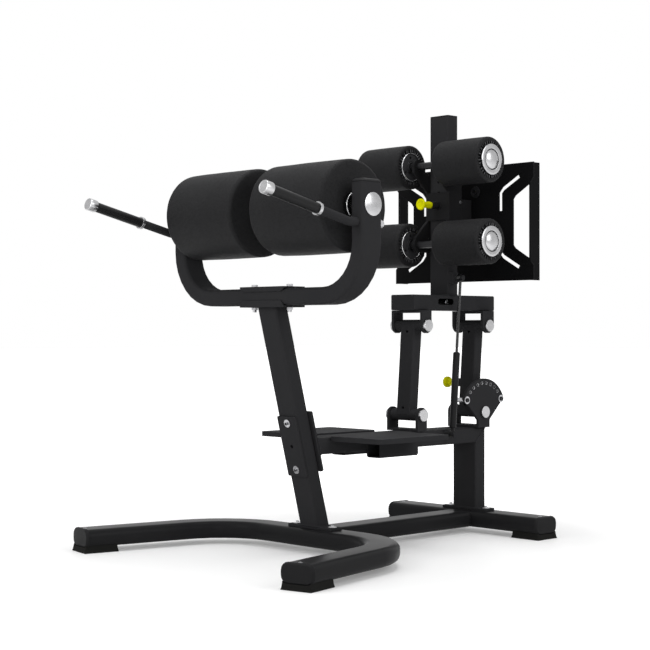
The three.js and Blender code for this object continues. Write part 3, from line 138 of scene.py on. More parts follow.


# A coat on metal or a moulded surface: two close tones in broad clouds, a fine surface texture, edges
# rounded by a small radius, and a paler line painted along them as an edge highlight.
def coatMaterial(name, look):
    material, tree = startMaterial(name)
    place = addNode(tree, "ShaderNodeTexCoord").outputs["Object"]
    clouds = addNode(tree, "ShaderNodeTexNoise", {"Vector": place, "Scale": perMetre(look["cloud"]),
        "Detail": 3.0})
    tone = addNode(tree, "ShaderNodeMix", {"Factor": clouds, "A": linear(look["dark"]),
        "B": linear(look["light"])}, data_type="RGBA")
    specks = addNode(tree, "ShaderNodeTexNoise", {"Vector": place, "Scale": perMetre(look["grain"]),
        "Detail": 2.0, "Roughness": 0.6})
    rounded = addNode(tree, "ShaderNodeBevel", {"Radius": look["edgeRadius"] * mm}, samples=4)
    flat = addNode(tree, "ShaderNodeNewGeometry")
    turned = addNode(tree, "ShaderNodeVectorMath", {0: rounded, 1: flat.outputs["Normal"]},
        operation="DOT_PRODUCT")
    # Painted edge highlight: a paler colour mixed in along edges, where the rounded normal parts from the
    # flat one, patchy across the clouds
    edge = addNode(tree, "ShaderNodeMapRange", {"Value": turned, "From Min": edgeHighlightCosines[0],
        "From Max": edgeHighlightCosines[1], "To Min": 0.0, "To Max": look["edgeHighlightShare"]})
    patchyEdgeHighlight = addNode(tree, "ShaderNodeMath", {0: edge, 1: clouds}, operation="MULTIPLY")
    edgeHighlighted = addNode(tree, "ShaderNodeMix", {"Factor": patchyEdgeHighlight, "A": tone, "B": linear(look["edge"])},
        data_type="RGBA")
    gloss = addNode(tree, "ShaderNodeMapRange", {"Value": clouds, "From Min": 0.3, "From Max": 0.7,
        "To Min": look["roughness"][0], "To Max": look["roughness"][1]})
    skin = addNode(tree, "ShaderNodeBump", {"Height": specks, "Strength": look["relief"],
        "Distance": look["depth"] * mm, "Normal": rounded})
    shader = addNode(tree, "ShaderNodeBsdfPrincipled", {"Base Color": edgeHighlighted, "Roughness": gloss,
        "Normal": skin, "Metallic": look.get("metallic", 0.0),
        "Specular IOR Level": look.get("specular", 0.5)})
    addNode(tree, "ShaderNodeOutputMaterial", {"Surface": shader})
    return material


# cloud and grain are pitches, depth and edgeRadius lengths, all in millimetres; roughness runs over the
# clouds; edge is the colour of the painted edge highlight, and its share how much of it shows.
coats = {
    # Baked epoxy polyester powder: satin black, its fine 1.2 mm orange peel drawn at 3 mm so that it shows.
    "powderCoatedSteel": {"dark": "#2b2b2d", "light": "#323233", "edge": "#46464a", "edgeHighlightShare": 0.9,
        "cloud": 160, "grain": 3.0, "relief": 0.2, "depth": 0.25, "edgeRadius": 1.8,
        "roughness": (0.64, 0.74), "specular": 0.024},
    # The same powder, matt, on the foot plate, its colour darkened as painted shade for the rollers' shade
    # it lies in.
    "shadedMattPowderCoatedSteel": {"dark": "#070708", "light": "#0d0d0e", "edge": "#4a4a4d", "edgeHighlightShare": 0.8,
        "cloud": 140, "grain": 3.0, "relief": 0.2, "depth": 0.25, "edgeRadius": 2.2,
        "roughness": (0.62, 0.72), "specular": 0.05},
    # Semi-gloss wet-look powder on the floor tubes and the sleeve: long soft highlights.
    "glossPowderCoatedSteel": {"dark": "#1d1d1e", "light": "#242425", "edge": "#3a3a3d", "edgeHighlightShare": 0.6,
        "cloud": 200, "grain": 4.0, "relief": 0.08, "depth": 0.2, "edgeRadius": 2.2,
        "roughness": (0.28, 0.35), "specular": 0.03},
    # Injection-moulded polyethylene caps: even, slightly waxy, spark-eroded grain of 0.5 mm drawn at 2 mm.
    "mouldedPolyethylene": {"dark": "#1a1a1b", "light": "#212122", "edge": "#2e2e30", "edgeHighlightShare": 0.6,
        "cloud": 80, "grain": 2.0, "relief": 0.25, "depth": 0.2, "edgeRadius": 1.5,
        "roughness": (0.45, 0.55), "specular": 0.06},
    # Natural rubber feet, compression moulded: dull, paler toward the edges by the painted edge highlight.
    "mouldedRubber": {"dark": "#171716", "light": "#1e1e1d", "edge": "#262625", "edgeHighlightShare": 0.7,
        "cloud": 40, "grain": 1.6, "relief": 0.4, "depth": 0.3, "edgeRadius": 1.5,
        "roughness": (0.68, 0.82), "specular": 0.05},
    # Dipped vinyl on the handle bars: smooth, soft shine.
    "vinylGrip": {"dark": "#111112", "light": "#171718", "edge": "#242425", "edgeHighlightShare": 0.4, "cloud": 60,
        "grain": 2.5, "relief": 0.12, "depth": 0.2, "edgeRadius": 1.0, "roughness": (0.36, 0.44),
        "specular": 0.14},
    # Black oxide on the shafts and bolts: thin, faintly metallic.
    "blackOxideSteel": {"dark": "#1a1a1c", "light": "#242426", "edge": "#3c3c40", "edgeHighlightShare": 0.8,
        "cloud": 30, "grain": 1.5, "relief": 0.12, "depth": 0.1, "edgeRadius": 0.8,
        "roughness": (0.34, 0.46), "metallic": 0.4, "specular": 0.3},
    # Glass-filled nylon hub plates: matt, with a moulded stipple.
    "mouldedNylon": {"dark": "#29292b", "light": "#343436", "edge": "#2c2c2e", "edgeHighlightShare": 0.6,
        "cloud": 30, "grain": 1.8, "relief": 0.3, "depth": 0.2, "edgeRadius": 0.8, "roughness": (0.5, 0.62),
        "specular": 0.3},
    # Stove-enamelled gas spring cylinder: smooth and shiny.
    "blackEnamel": {"dark": "#1c1c1d", "light": "#222223", "edge": "#363638", "edgeHighlightShare": 0.6, "cloud": 90,
        "grain": 3.0, "relief": 0.05, "depth": 0.1, "edgeRadius": 0.8, "roughness": (0.36, 0.44),
        "specular": 0.08},
    # Salt-bath nitrided piston rod: near black, smooth, slightly oily.
    "nitridedSteel": {"dark": "#101012", "light": "#18181a", "edge": "#303034", "edgeHighlightShare": 0.5,
        "cloud": 40, "grain": 1.0, "relief": 0.05, "depth": 0.1, "edgeRadius": 0.5,
        "roughness": (0.22, 0.3), "specular": 0.4},
    # Decorative chrome on nickel: bright, a little clouded by handling.
    "chromePlatedSteel": {"dark": "#a0a0a2", "light": "#b4b4b5", "edge": "#e8e8e8", "edgeHighlightShare": 0.5,
        "cloud": 22, "grain": 9.0, "relief": 0.05, "depth": 0.3, "edgeRadius": 1.0,
        "roughness": (0.2, 0.32), "metallic": 1.0},
    # Bright zinc on screws and nuts: paler and duller than chrome.
    "zincPlatedSteel": {"dark": "#a9a9ac", "light": "#bcbcbe", "edge": "#efefef", "edgeHighlightShare": 0.4,
        "cloud": 12, "grain": 1.5, "relief": 0.08, "depth": 0.1, "edgeRadius": 0.5,
        "roughness": (0.26, 0.38), "metallic": 1.0},
    # Polished stainless trim rings: clear, narrow reflections.
    "polishedSteel": {"dark": "#d6d6d8", "light": "#e0e0e1", "edge": "#f2f2f2", "edgeHighlightShare": 0.3,
        "cloud": 20, "grain": 6.0, "relief": 0.02, "depth": 0.1, "edgeRadius": 0.3,
        "roughness": (0.12, 0.2), "metallic": 1.0},
    # Nylon hub cups of the thigh rollers: black and matt.
    "mattNylon": {"dark": "#0b0b0c", "light": "#111112", "edge": "#1c1c1e", "edgeHighlightShare": 0.5, "cloud": 30,
        "grain": 1.8, "relief": 0.3, "depth": 0.2, "edgeRadius": 0.6, "roughness": (0.55, 0.68),
        "specular": 0.1},
    # Moulded ABS knobs in signal yellow.
    "mouldedAbs": {"dark": "#d2d200", "light": "#dcdc00", "edge": "#e8e800", "edgeHighlightShare": 0.5, "cloud": 25,
        "grain": 1.6, "relief": 0.12, "depth": 0.15, "edgeRadius": 1.2, "roughness": (0.4, 0.5),
        "specular": 0.06},
}
finishes = {coatName: coatMaterial(coatName, look) for coatName, look in coats.items()}

# PVC-coated fabric over foam: a pebbled grain of small cells with soft creases between, satin on the
# pebbles and duller in the creases. A 0.9 mm grain is drawn at 2.6 mm so that it shows.
# The two ramps below are the millimetres under and over the end face between which the painted shade of the
# gaps and the painted highlight of the crests set in.
leatherLook = {"gapShadeRamp": (-0.4, -3.0), "crestHighlightRamp": (0.1, 0.9), "dark": "#29292a", "light": "#303031",
    "crease": "#1c1c1d", "gapShadeColour": "#060607", "crestHighlightColour": "#515153", "grain": 2.6, "stretch": 45, "wander": 0.02,
    "pebble": 0.22, "cloud": 110, "roughness": (0.5, 0.64), "relief": 0.3, "depth": 0.3, "specular": 0.042}
leather, leatherTree = startMaterial("pvcLeathercloth")
leatherPlace = addNode(leatherTree, "ShaderNodeTexCoord").outputs["Object"]
wander = addNode(leatherTree, "ShaderNodeTexNoise", {"Vector": leatherPlace,
    "Scale": perMetre(leatherLook["stretch"]), "Detail": 2.0})
bent = addNode(leatherTree, "ShaderNodeMix", {"Factor": leatherLook["wander"], "A": leatherPlace,
    "B": wander.outputs["Color"]}, data_type="VECTOR")
cells = addNode(leatherTree, "ShaderNodeTexVoronoi", {"Vector": bent,
    "Scale": perMetre(leatherLook["grain"])}, feature="DISTANCE_TO_EDGE")
pebble = addNode(leatherTree, "ShaderNodeMapRange", {"Value": cells, "From Max": leatherLook["pebble"]},
    interpolation_type="SMOOTHSTEP")
leatherClouds = addNode(leatherTree, "ShaderNodeTexNoise", {"Vector": leatherPlace, "Detail": 3.0,
    "Scale": perMetre(leatherLook["cloud"])})
leatherTone = addNode(leatherTree, "ShaderNodeMix", {"Factor": leatherClouds,
    "A": linear(leatherLook["dark"]), "B": linear(leatherLook["light"])}, data_type="RGBA")
leatherColour = addNode(leatherTree, "ShaderNodeMix", {"Factor": pebble, "A": linear(leatherLook["crease"]),
    "B": leatherTone}, data_type="RGBA")
# Gathered cloth: painted highlight on the crests, where they would catch the light, and painted shade in the
# gaps between them
gather = addNode(leatherTree, "ShaderNodeAttribute", attribute_name="gather").outputs["Fac"]
gapShadeRamp = addNode(leatherTree, "ShaderNodeMapRange", {"Value": gather, "From Min": leatherLook["gapShadeRamp"][0],
    "From Max": leatherLook["gapShadeRamp"][1]})
gapShaded = addNode(leatherTree, "ShaderNodeMix", {"Factor": gapShadeRamp, "A": leatherColour,
    "B": linear(leatherLook["gapShadeColour"])}, data_type="RGBA")
crestHighlightRamp = addNode(leatherTree, "ShaderNodeMapRange", {"Value": gather,
    "From Min": leatherLook["crestHighlightRamp"][0], "From Max": leatherLook["crestHighlightRamp"][1]})
foldShadeAndHighlight = addNode(leatherTree, "ShaderNodeMix", {"Factor": crestHighlightRamp, "A": gapShaded,
    "B": linear(leatherLook["crestHighlightColour"])}, data_type="RGBA")
leatherGloss = addNode(leatherTree, "ShaderNodeMapRange", {"Value": pebble,
    "To Min": leatherLook["roughness"][1], "To Max": leatherLook["roughness"][0]})
leatherBump = addNode(leatherTree, "ShaderNodeBump", {"Height": pebble, "Strength": leatherLook["relief"],
    "Distance": leatherLook["depth"] * mm})
leatherShader = addNode(leatherTree, "ShaderNodeBsdfPrincipled",
    {"Base Color": foldShadeAndHighlight, "Roughness": leatherGloss, "Normal": leatherBump,
    "Specular IOR Level": leatherLook["specular"]})
addNode(leatherTree, "ShaderNodeOutputMaterial", {"Surface": leatherShader})
finishes["pvcLeathercloth"] = leather
print("materials made")


# Floor and backdrop

# A pale floor that goes over into the white background. Its half side and the fade are in metres.
floorLook = {"halfSide": 40.0, "colour": "#e6e6e6", "roughness": 0.55, "ior": 1.45, "lift": 0.2,
    "fadeStart": 0.7, "fadeEnd": 1.9}
floorMaterial, floorTree = startMaterial("paleStudioFloor")
floorPlace = addNode(floorTree, "ShaderNodeTexCoord").outputs["Object"]
fromMiddle = addNode(floorTree, "ShaderNodeVectorMath", {0: floorPlace}, operation="LENGTH")
farAway = addNode(floorTree, "ShaderNodeMapRange", {"Value": fromMiddle, "From Min": floorLook["fadeStart"],
    "From Max": floorLook["fadeEnd"], "To Min": floorLook["lift"], "To Max": 1.0},
    interpolation_type="SMOOTHSTEP")
glow = addNode(floorTree, "ShaderNodeMath", {0: farAway, 1: seenDirectly(floorTree)}, operation="MULTIPLY")
floorShade = addNode(floorTree, "ShaderNodeBsdfPrincipled", {"Base Color": linear(floorLook["colour"]),
    "Roughness": floorLook["roughness"], "IOR": floorLook["ior"], "Emission Color": (1.0, 1.0, 1.0, 1.0),
    "Emission Strength": glow})
addNode(floorTree, "ShaderNodeOutputMaterial", {"Surface": floorShade})
floorMesh = bpy.data.meshes.new("studio_floor")
reach = floorLook["halfSide"]
floorMesh.from_pydata([(-reach, -reach, 0), (reach, -reach, 0), (reach, reach, 0), (-reach, reach, 0)], [],
    [(0, 1, 2, 3)])
floorMesh.materials.append(floorMaterial)
studioFloor = bpy.data.objects.new("studio_floor", floorMesh)
bpy.context.scene.collection.objects.link(studioFloor)

# The white surroundings: how strongly they light the bench, and how bright they look
roomLook = {"light": 0.32, "seen": 1.0}
room = bpy.data.worlds.new("studio")
bpy.context.scene.world = room
room.use_nodes = True
roomTree = room.node_tree
roomTree.nodes.clear()
roomLevel = addNode(roomTree, "ShaderNodeMapRange", {"Value": seenDirectly(roomTree),
    "To Min": roomLook["light"], "To Max": roomLook["seen"]})
roomGlow = addNode(roomTree, "ShaderNodeBackground", {"Color": (1.0, 1.0, 1.0, 1.0), "Strength": roomLevel})
addNode(roomTree, "ShaderNodeOutputWorld", {"Surface": roomGlow})
print("studio made")


# The carried steelwork: materials, and smooth shading across its shallow facets

nodeFinishes = {  # a star stands for the near and the far one
    "glossPowderCoatedSteel": ["front_base_tube", "main_base_tube", "rear_base_tube", "sleeve"],
    "mouldedPolyethylene": ["front_end_cap_*", "rear_end_cap_*", "yoke_plug_*", "mast_cap"],
    "mouldedRubber": ["front_foot_*", "rear_foot_*"],
    "powderCoatedSteel": ["column", "column_back_plate", "mid_beam", "rear_post", "platform_*", "yoke",
        "clamp_lower", "clamp_upper", "handle_bar_*", "front_lower_clevis", "rear_lower_clevis",
        "front_upper_clevis", "rear_upper_clevis", "front_link", "rear_link", "upper_beam", "mast"],
    "shadedMattPowderCoatedSteel": ["foot_plate"],
    "zincPlatedSteel": ["clamp_bolt_*"],
    "chromePlatedSteel": ["thigh_axle", "handle_collar_*", "handle_cap_*", "front_lower_pivot",
        "rear_lower_pivot", "front_upper_pivot", "rear_upper_pivot"],
    "vinylGrip": ["handle_grip_*"],
    "mouldedAbs": ["height_pull_pin", "swing_pull_pin"],
    "blackEnamel": ["gas_spring_cylinder"],
    "nitridedSteel": ["gas_spring_rod"],
}


def bothSides(label):  # the names that a label stands for
    return [label.replace("*", sideName) for sideName in ("near", "far")] if "*" in label else [label]


def nodeTree(name, inputs):  # an empty Geometry Nodes tree with its named inputs
    tree = bpy.data.node_groups.new(name, "GeometryNodeTree")
    for label, kind in {"Geometry": "Geometry", **inputs}.items():
        tree.interface.new_socket(label, in_out="INPUT", socket_type="NodeSocket" + kind)
    tree.interface.new_socket("Geometry", in_out="OUTPUT", socket_type="NodeSocketGeometry")
    return tree


def realPaint(tree, instances, material):  # makes instances real and gives them their material
    real = addNode(tree, "GeometryNodeRealizeInstances", {"Geometry": instances})
    return addNode(tree, "GeometryNodeSetMaterial", {"Geometry": real, "Material": material})


def addModifier(target, tree, values):  # sets each input by its identifier before anything is evaluated
    modifier = target.modifiers.new(tree.name, "NODES")
    modifier.node_group = tree
    for item in tree.interface.items_tree:
        if item.item_type == "SOCKET" and item.in_out == "INPUT" and item.name in values:
            modifier[item.identifier] = values[item.name]
    return modifier


softTree = nodeTree("softEdges", {"Weld Distance": "Float", "Crease Angle": "Float"})
softIn = addNode(softTree, "NodeGroupInput")
welded = addNode(softTree, "GeometryNodeMergeByDistance", {"Geometry": softIn.outputs["Geometry"],
    "Distance": softIn.outputs["Weld Distance"]})
unset = addNode(softTree, "GeometryNodeRemoveAttribute", {"Geometry": welded, "Name": "custom_normal"})
edgeAngle = addNode(softTree, "GeometryNodeInputMeshEdgeAngle")
crease = addNode(softTree, "FunctionNodeCompare", {"A": edgeAngle, "B": softIn.outputs["Crease Angle"]},
    operation="LESS_THAN")
smoothEdges = addNode(softTree, "GeometryNodeSetShadeSmooth", {"Geometry": unset, "Shade Smooth": crease},
    domain="EDGE")
smoothFaces = addNode(softTree, "GeometryNodeSetShadeSmooth",
    {"Geometry": smoothEdges, "Shade Smooth": True}, domain="FACE")
addNode(softTree, "NodeGroupOutput", {"Geometry": smoothFaces})

steelEdges = {"weld": 0.02, "crease": 34, "flatWeight": 70}
for finishName, nodeNames in nodeFinishes.items():
    for steel in (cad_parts[nodeName] for label in nodeNames for nodeName in bothSides(label)):
        for materialSlot in steel.material_slots:
            materialSlot.material = finishes[finishName]
        addModifier(steel, softTree, {"Weld Distance": steelEdges["weld"] * mm,
            "Crease Angle": math.radians(steelEdges["crease"])})
        # Large flats keep their own direction
        flatFaces = steel.modifiers.new("flatFaces", "WEIGHTED_NORMAL")
        flatFaces.keep_sharp = True
        flatFaces.weight = steelEdges["flatWeight"]
print("steelwork dressed")


# Mesh helpers for the new pieces

def newShape():
    return {"points": [], "faces": [], "finish": []}


def sideways(axis):  # two directions square to an axis
    first = zAxis if abs(axis.z) < 0.9 else xAxis
    across = axis.cross(first).normalized()
    return across.cross(axis).normalized(), across


# Turns a profile of (along the axis, distance from the axis) round an axis. wave moves each point.
def revolve(shape, profile, middle, axis, steps, finish=0, closed=False, wave=None):
    middle, axis = Vector(middle), Vector(axis)
    up, across = sideways(axis)
    first = len(shape["points"])
    for i in range(steps):
        angle = 2 * math.pi * i / steps
        outward = up * math.cos(angle) + across * math.sin(angle)
        for along, radius in profile:
            if wave:
                along, radius = wave(along, radius, angle)
            shape["points"].append(middle + axis * along + outward * radius)
    count = len(profile)
    for i in range(steps):
        here, following = first + i * count, first + (i + 1) % steps * count
        for j in range(count if closed else count - 1):
            k = (j + 1) % count
            shape["faces"].append((here + j, here + k, following + k, following + j))
            shape["finish"].append(finish)


# An object of a finished mesh, with its faces pointing out, smooth below the crease angle, on its body
def rideMesh(name, mesh, body, crease=32):
    work = bmesh.new()
    work.from_mesh(mesh)
    bmesh.ops.recalc_face_normals(work, faces=work.faces)
    work.to_mesh(mesh)
    work.free()
    mesh.shade_smooth()
    mesh.set_sharp_from_angle(angle=math.radians(crease))
    piece = bpy.data.objects.new(name, mesh)
    bpy.context.scene.collection.objects.link(piece)
    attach(piece, body)
    return piece


mergeDistance = 0.001
slimEdge = 0.0001


def makePiece(name, shape, materialNames, body, crease=32):
    mesh = bpy.data.meshes.new(name)
    mesh.from_pydata([point * mm for point in shape["points"]], [], shape["faces"])
    mesh.polygons.foreach_set("material_index", shape["finish"])
    work = bmesh.new()
    work.from_mesh(mesh)
    bmesh.ops.remove_doubles(work, verts=work.verts, dist=mergeDistance * mm)
    bmesh.ops.dissolve_degenerate(work, edges=work.edges, dist=slimEdge * mm)
    work.to_mesh(mesh)
    work.free()
    for materialName in materialNames:
        mesh.materials.append(finishes[materialName])
    return rideMesh(name, mesh, body, crease)


# Padded rollers: a foam core in a leathercloth sleeve whose ends are gathered under a hub ring

# half is half the length, draw how far the end faces draw in toward the hub ring, chamfer the shoulder's
# width along and inward. Folds stand foldHeight over gaps that lie foldDeep under the face.
thighPad = {"radius": 133.0, "half": 150.6, "crown": 1.2, "draw": 3.0, "hub": 37.0, "recess": 3.0,
    "bore": 13.2, "chamfer": (6.4, 6.4), "fillet": 10.4, "folds": 40, "foldHeight": 1.4, "foldDeep": 1.6,
    "foldReach": 8.0, "steps": 400, "rows": 46, "sag": 0.5, "pinch": 0.35}
anklePad = {"radius": 73.6, "half": 95.1, "crown": 0.9, "draw": 2.0, "hub": 48.4, "recess": 6.0,
    "bore": 12.8, "chamfer": (4.8, 5.2), "fillet": 7.6, "folds": 36, "foldHeight": 8.8, "foldDeep": 6.4,
    "foldReach": 10.0, "steps": 576, "rows": 18, "sag": 0.35, "pinch": 0.4}
# What both kinds of roller share: the folds' shape, and how the cloth's unevenness spreads
padCloth = {"hubLip": 1.2, "hubGap": 0.6, "faceRow": 1.6, "mantleGap": 1.5, "arcShare": 0.45, "arcSteps": 8,
    "foldSlope": 3.0, "foldJitter": 0.22, "foldLeast": 0.75, "waveLength": 70, "waveTurns": 1.6,
    "tuckTurns": 9, "tuckReach": 7, "gripReach": 20, "fadeLeast": 0.02, "faceBand": 3, "tintStart": 0.5}


def roundCorner(before, corner, after, radius, steps):  # an arc in place of a corner of a profile
    before, corner, after = Vector(before), Vector(corner), Vector(after)
    back, ahead = (before - corner).normalized(), (after - corner).normalized()
    half = math.acos(max(-1.0, min(1.0, back.dot(ahead)))) / 2
    reach = radius / math.tan(half)
    centre = corner + (back + ahead).normalized() * (radius / math.sin(half))
    start, end = corner + back * reach - centre, corner + ahead * reach - centre
    sweep = math.atan2(start.x * end.y - start.y * end.x, start.dot(end))
    arc = []
    for i in range(steps + 1):
        turn = sweep * i / steps
        arc.append((centre.x + start.x * math.cos(turn) - start.y * math.sin(turn),
            centre.y + start.x * math.sin(turn) + start.y * math.cos(turn)))
    return arc


def faceSpan(pad):  # the width of the end face, from the hub to the shoulder's arc
    return pad["radius"] - pad["chamfer"][1] - pad["fillet"] * padCloth["arcShare"] - pad["hub"]


def faceLevel(pad, out):  # how far along the roller its end face lies, this far out from the hub
    return pad["half"] - pad["draw"] * (1 - math.sin(math.pi / 2 * out / faceSpan(pad)))


def rollerProfile(pad):  # from the bore out over the end face, round the shoulder and along, then mirrored
    half, radius = pad["half"], pad["radius"]
    inner = half - pad["draw"]
    lengthwise, inward = pad["chamfer"]
    face = [(inner - pad["recess"], pad["bore"]), (inner - pad["recess"], pad["hub"] - padCloth["hubGap"]),
        (inner - padCloth["hubLip"], pad["hub"])]
    shoulder = (half, radius - inward)
    span = faceSpan(pad)
    rows = max(12, int(span / padCloth["faceRow"]))
    for i in range(1, rows):
        face.append((faceLevel(pad, span * i / rows), pad["hub"] + span * i / rows))
    mantleCorner = (half - lengthwise, radius)
    edge = roundCorner((inner, pad["hub"]), shoulder, mantleCorner, pad["fillet"], padCloth["arcSteps"])
    edge += roundCorner(shoulder, mantleCorner, (0.0, radius), pad["fillet"], padCloth["arcSteps"])
    start = edge[-1][0] - padCloth["mantleGap"]
    mantle = [(start * (1 - i / pad["rows"]), radius) for i in range(pad["rows"] + 1)]
    side = face + edge + mantle
    return side + [(-a, r) for a, r in reversed(side[:-1])]


def rollerWave(pad, seed):  # folds at the hub, soft unevenness on the mantle
    random.seed(seed)
    folds = []
    turn = random.random()
    width = 2 * math.pi / pad["folds"]
    for i in range(pad["folds"]):
        folds.append((width * (i + turn + random.uniform(-padCloth["foldJitter"], padCloth["foldJitter"])),
            random.uniform(padCloth["foldLeast"], 1.0)))

    def foldLift(out, angle):  # over the end face, this far out from the hub
        fade = math.exp(-(out / pad["foldReach"]) ** 2)
        if fade < padCloth["fadeLeast"]:
            return 0.0
        near = int(angle / width)
        best = 0.0
        for k in range(near - 2, near + 3):
            place, height = folds[k % pad["folds"]]
            off = abs((angle - place + math.pi) % (2 * math.pi) - math.pi) / width
            best = max(best, height * max(0.0, 1 - (off * padCloth["foldSlope"]) ** 4))
        return (pad["foldHeight"] * best - pad["foldDeep"]) * fade

    def wave(along, radius, angle):
        out = radius - pad["hub"]
        if out < 0:
            return along, radius
        side = 1 if along > 0 else -1
        onFace = abs(along) > pad["half"] - pad["draw"] - padCloth["faceBand"]
        lift = foldLift(out, angle) if onFace else 0.0
        around = Vector((0, math.cos(angle), math.sin(angle)))
        swell = around * padCloth["waveTurns"] + Vector((along / padCloth["waveLength"], 0, seed))
        uneven = noise.noise(swell) * pad["sag"] - pad["sag"]
        shoulder = math.exp(-((abs(along) - (pad["half"]
            - pad["chamfer"][0])) / padCloth["tuckReach"]) ** 2)
        tuckPlace = Vector((around.y * padCloth["tuckTurns"], around.z * padCloth["tuckTurns"],
            seed + side))
        tuck = noise.noise(tuckPlace) * pad["pinch"] * shoulder - pad["pinch"]
        crown = -pad["crown"] * (along / pad["half"]) ** 2
        grip = min(1.0, out / padCloth["gripReach"])
        return along + side * lift, radius + (uneven + tuck + crown) * grip
    return wave


thighPlace = {"x": -303.0, "y": 191.0, "z": 1017.5}
anklePlace = {"x": 383.0, "y": 168.5, "upper": 1206.0, "lower": 949.0}
rollers = [  # node and body, middle, pad, seed
    ("thigh_roller_near", (thighPlace["x"], -thighPlace["y"], thighPlace["z"]), thighPad, 3),
    ("thigh_roller_far", (thighPlace["x"], thighPlace["y"], thighPlace["z"]), thighPad, 7),
    ("upper_ankle_roller_near", (anklePlace["x"], -anklePlace["y"], anklePlace["upper"]), anklePad, 11),
    ("upper_ankle_roller_far", (anklePlace["x"], anklePlace["y"], anklePlace["upper"]), anklePad, 13),
    ("lower_ankle_roller_near", (anklePlace["x"], -anklePlace["y"], anklePlace["lower"]), anklePad, 17),
    ("lower_ankle_roller_far", (anklePlace["x"], anklePlace["y"], anklePlace["lower"]), anklePad, 19),
]
for rollerName, middle, pad, seed in rollers:
    cover = newShape()
    revolve(cover, rollerProfile(pad), middle, yAxis, pad["steps"], closed=True, wave=rollerWave(pad, seed))
    coverPiece = makePiece(rollerName + "_cover", cover, ["pvcLeathercloth"], rollerName,
        crease=50)
    # The lift over the end face sets the painted shade in the fold gaps and the painted highlight on the
    # fold crests.
    lifts = []  # how far each point near the hub stands over the plain end face, which tints it
    for vertex in coverPiece.data.vertices:
        away = vertex.co / mm - Vector(middle)
        out = math.hypot(away.x, away.z) - pad["hub"]
        inFolds = padCloth["tintStart"] < out < pad["foldReach"]
        lifts.append(abs(away.y) - faceLevel(pad, out) if inFolds else 0.0)
    coverPiece.data.attributes.new("gather", "FLOAT", "POINT").data.foreach_set("value", lifts)
    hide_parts(rollerName)
print("rollers padded")


# Hub rings and hub plates of the rollers

# Radii, and distances along the axis from the roller's end face: behind counts inward, the others outward.
# In the profiles below, small steps from these sizes round off the corners.
thighHub = {"cup": 35.4, "cupWall": 1.6, "reach": 10.6, "ring": 36.2, "ringThick": 1.5, "behind": 2.8,
    "web": 1.4, "bore": 13.4, "boss": 21.0, "bossReach": 7.6}
ankleHub = {"ringInner": 43.4, "ringOuter": 46.6, "ring": 45.6, "ringThick": 1.7, "ringProud": 0.8,
    "ringBehind": 4.6, "behind": 4.8, "boss": 21.8, "core": 21.6, "shaft": 12.6, "nut": 17.8,
    "nutReach": 4.6, "web": 1.4, "holes": 3, "hole": 5.4, "circle": 31.0, "turn": 95.0, "thickness": 4.2}


def ringProfile(low, high, inner, outer, edge):  # a band round the axis with two rounded corners
    turn = edge * 0.3
    return [(low, inner), (high - edge, inner), (high - turn, inner + turn), (high, inner + edge),
        (high, outer - edge), (high - turn, outer - turn), (high - edge, outer), (low, outer)]


def roundRing(along, radius, thick):  # the round section of a polished ring
    return [(along + thick * math.cos(math.pi * i / 6), radius + thick * math.sin(math.pi * i / 6))
        for i in range(12)]


for rollerName, middle, pad, seed in rollers[:2]:
    hub = newShape()
    for side in (-1, 1):
        face = pad["half"] - pad["draw"]
        lip = face + thighHub["reach"]
        revolve(hub, roundRing(lip, thighHub["ring"], thighHub["ringThick"]), middle, yAxis * side, 84,
            finish=0, closed=True)
        behind, web, boss = face - thighHub["behind"], face + thighHub["web"], thighHub["boss"]
        cup, bore, bossEnd = thighHub["cup"], thighHub["bore"], face + thighHub["bossReach"]
        revolve(hub, [(behind, cup - 3), (behind, cup), (lip - 0.2, cup),
            (lip - 0.2, cup - thighHub["cupWall"]), (web, cup - 3)], middle, yAxis * side, 72, finish=1,
            closed=True)
        revolve(hub, [(behind, bore), (behind, cup - 2.8), (web - 0.2, cup - 2.8), (web, boss),
            (bossEnd - 1, boss - 1), (bossEnd, boss - 2), (bossEnd, bore)], middle, yAxis * side, 60,
            finish=1, closed=True)
    makePiece(rollerName + "_hubs", hub, ["polishedSteel", "mattNylon"], rollerName)

hubTree = nodeTree("hubPlate", {"Outer Radius": "Float", "Bore Radius": "Float", "Hole Circle": "Float",
    "Hole Radius": "Float", "Hole Count": "Int", "Thickness": "Float", "Material": "Material"})
hubIn = addNode(hubTree, "NodeGroupInput")
rim = addNode(hubTree, "GeometryNodeCurvePrimitiveCircle", {"Resolution": 72,
    "Radius": hubIn.outputs["Outer Radius"]})
boreRing = addNode(hubTree, "GeometryNodeCurvePrimitiveCircle",
    {"Resolution": 48, "Radius": hubIn.outputs["Bore Radius"]})
holeRing = addNode(hubTree, "GeometryNodeMeshCircle", {"Vertices": hubIn.outputs["Hole Count"],
    "Radius": hubIn.outputs["Hole Circle"]})
holeShape = addNode(hubTree, "GeometryNodeCurvePrimitiveCircle",
    {"Resolution": 20, "Radius": hubIn.outputs["Hole Radius"]})
holes = addNode(hubTree, "GeometryNodeInstanceOnPoints", {"Points": holeRing, "Instance": holeShape})
holesReal = addNode(hubTree, "GeometryNodeRealizeInstances", {"Geometry": holes})
outlines = addNode(hubTree, "GeometryNodeJoinGeometry", {"Geometry": [rim, boreRing, holesReal]})
disc = addNode(hubTree, "GeometryNodeFillCurve", {"Curve": outlines})
raised = addNode(hubTree, "GeometryNodeExtrudeMesh", {"Mesh": disc, "Individual": False,
    "Offset": (0.0, 0.0, 1.0), "Offset Scale": hubIn.outputs["Thickness"]})
back = addNode(hubTree, "GeometryNodeFlipFaces", {"Mesh": disc})
plateShell = addNode(hubTree, "GeometryNodeJoinGeometry", {"Geometry": [raised, back]})
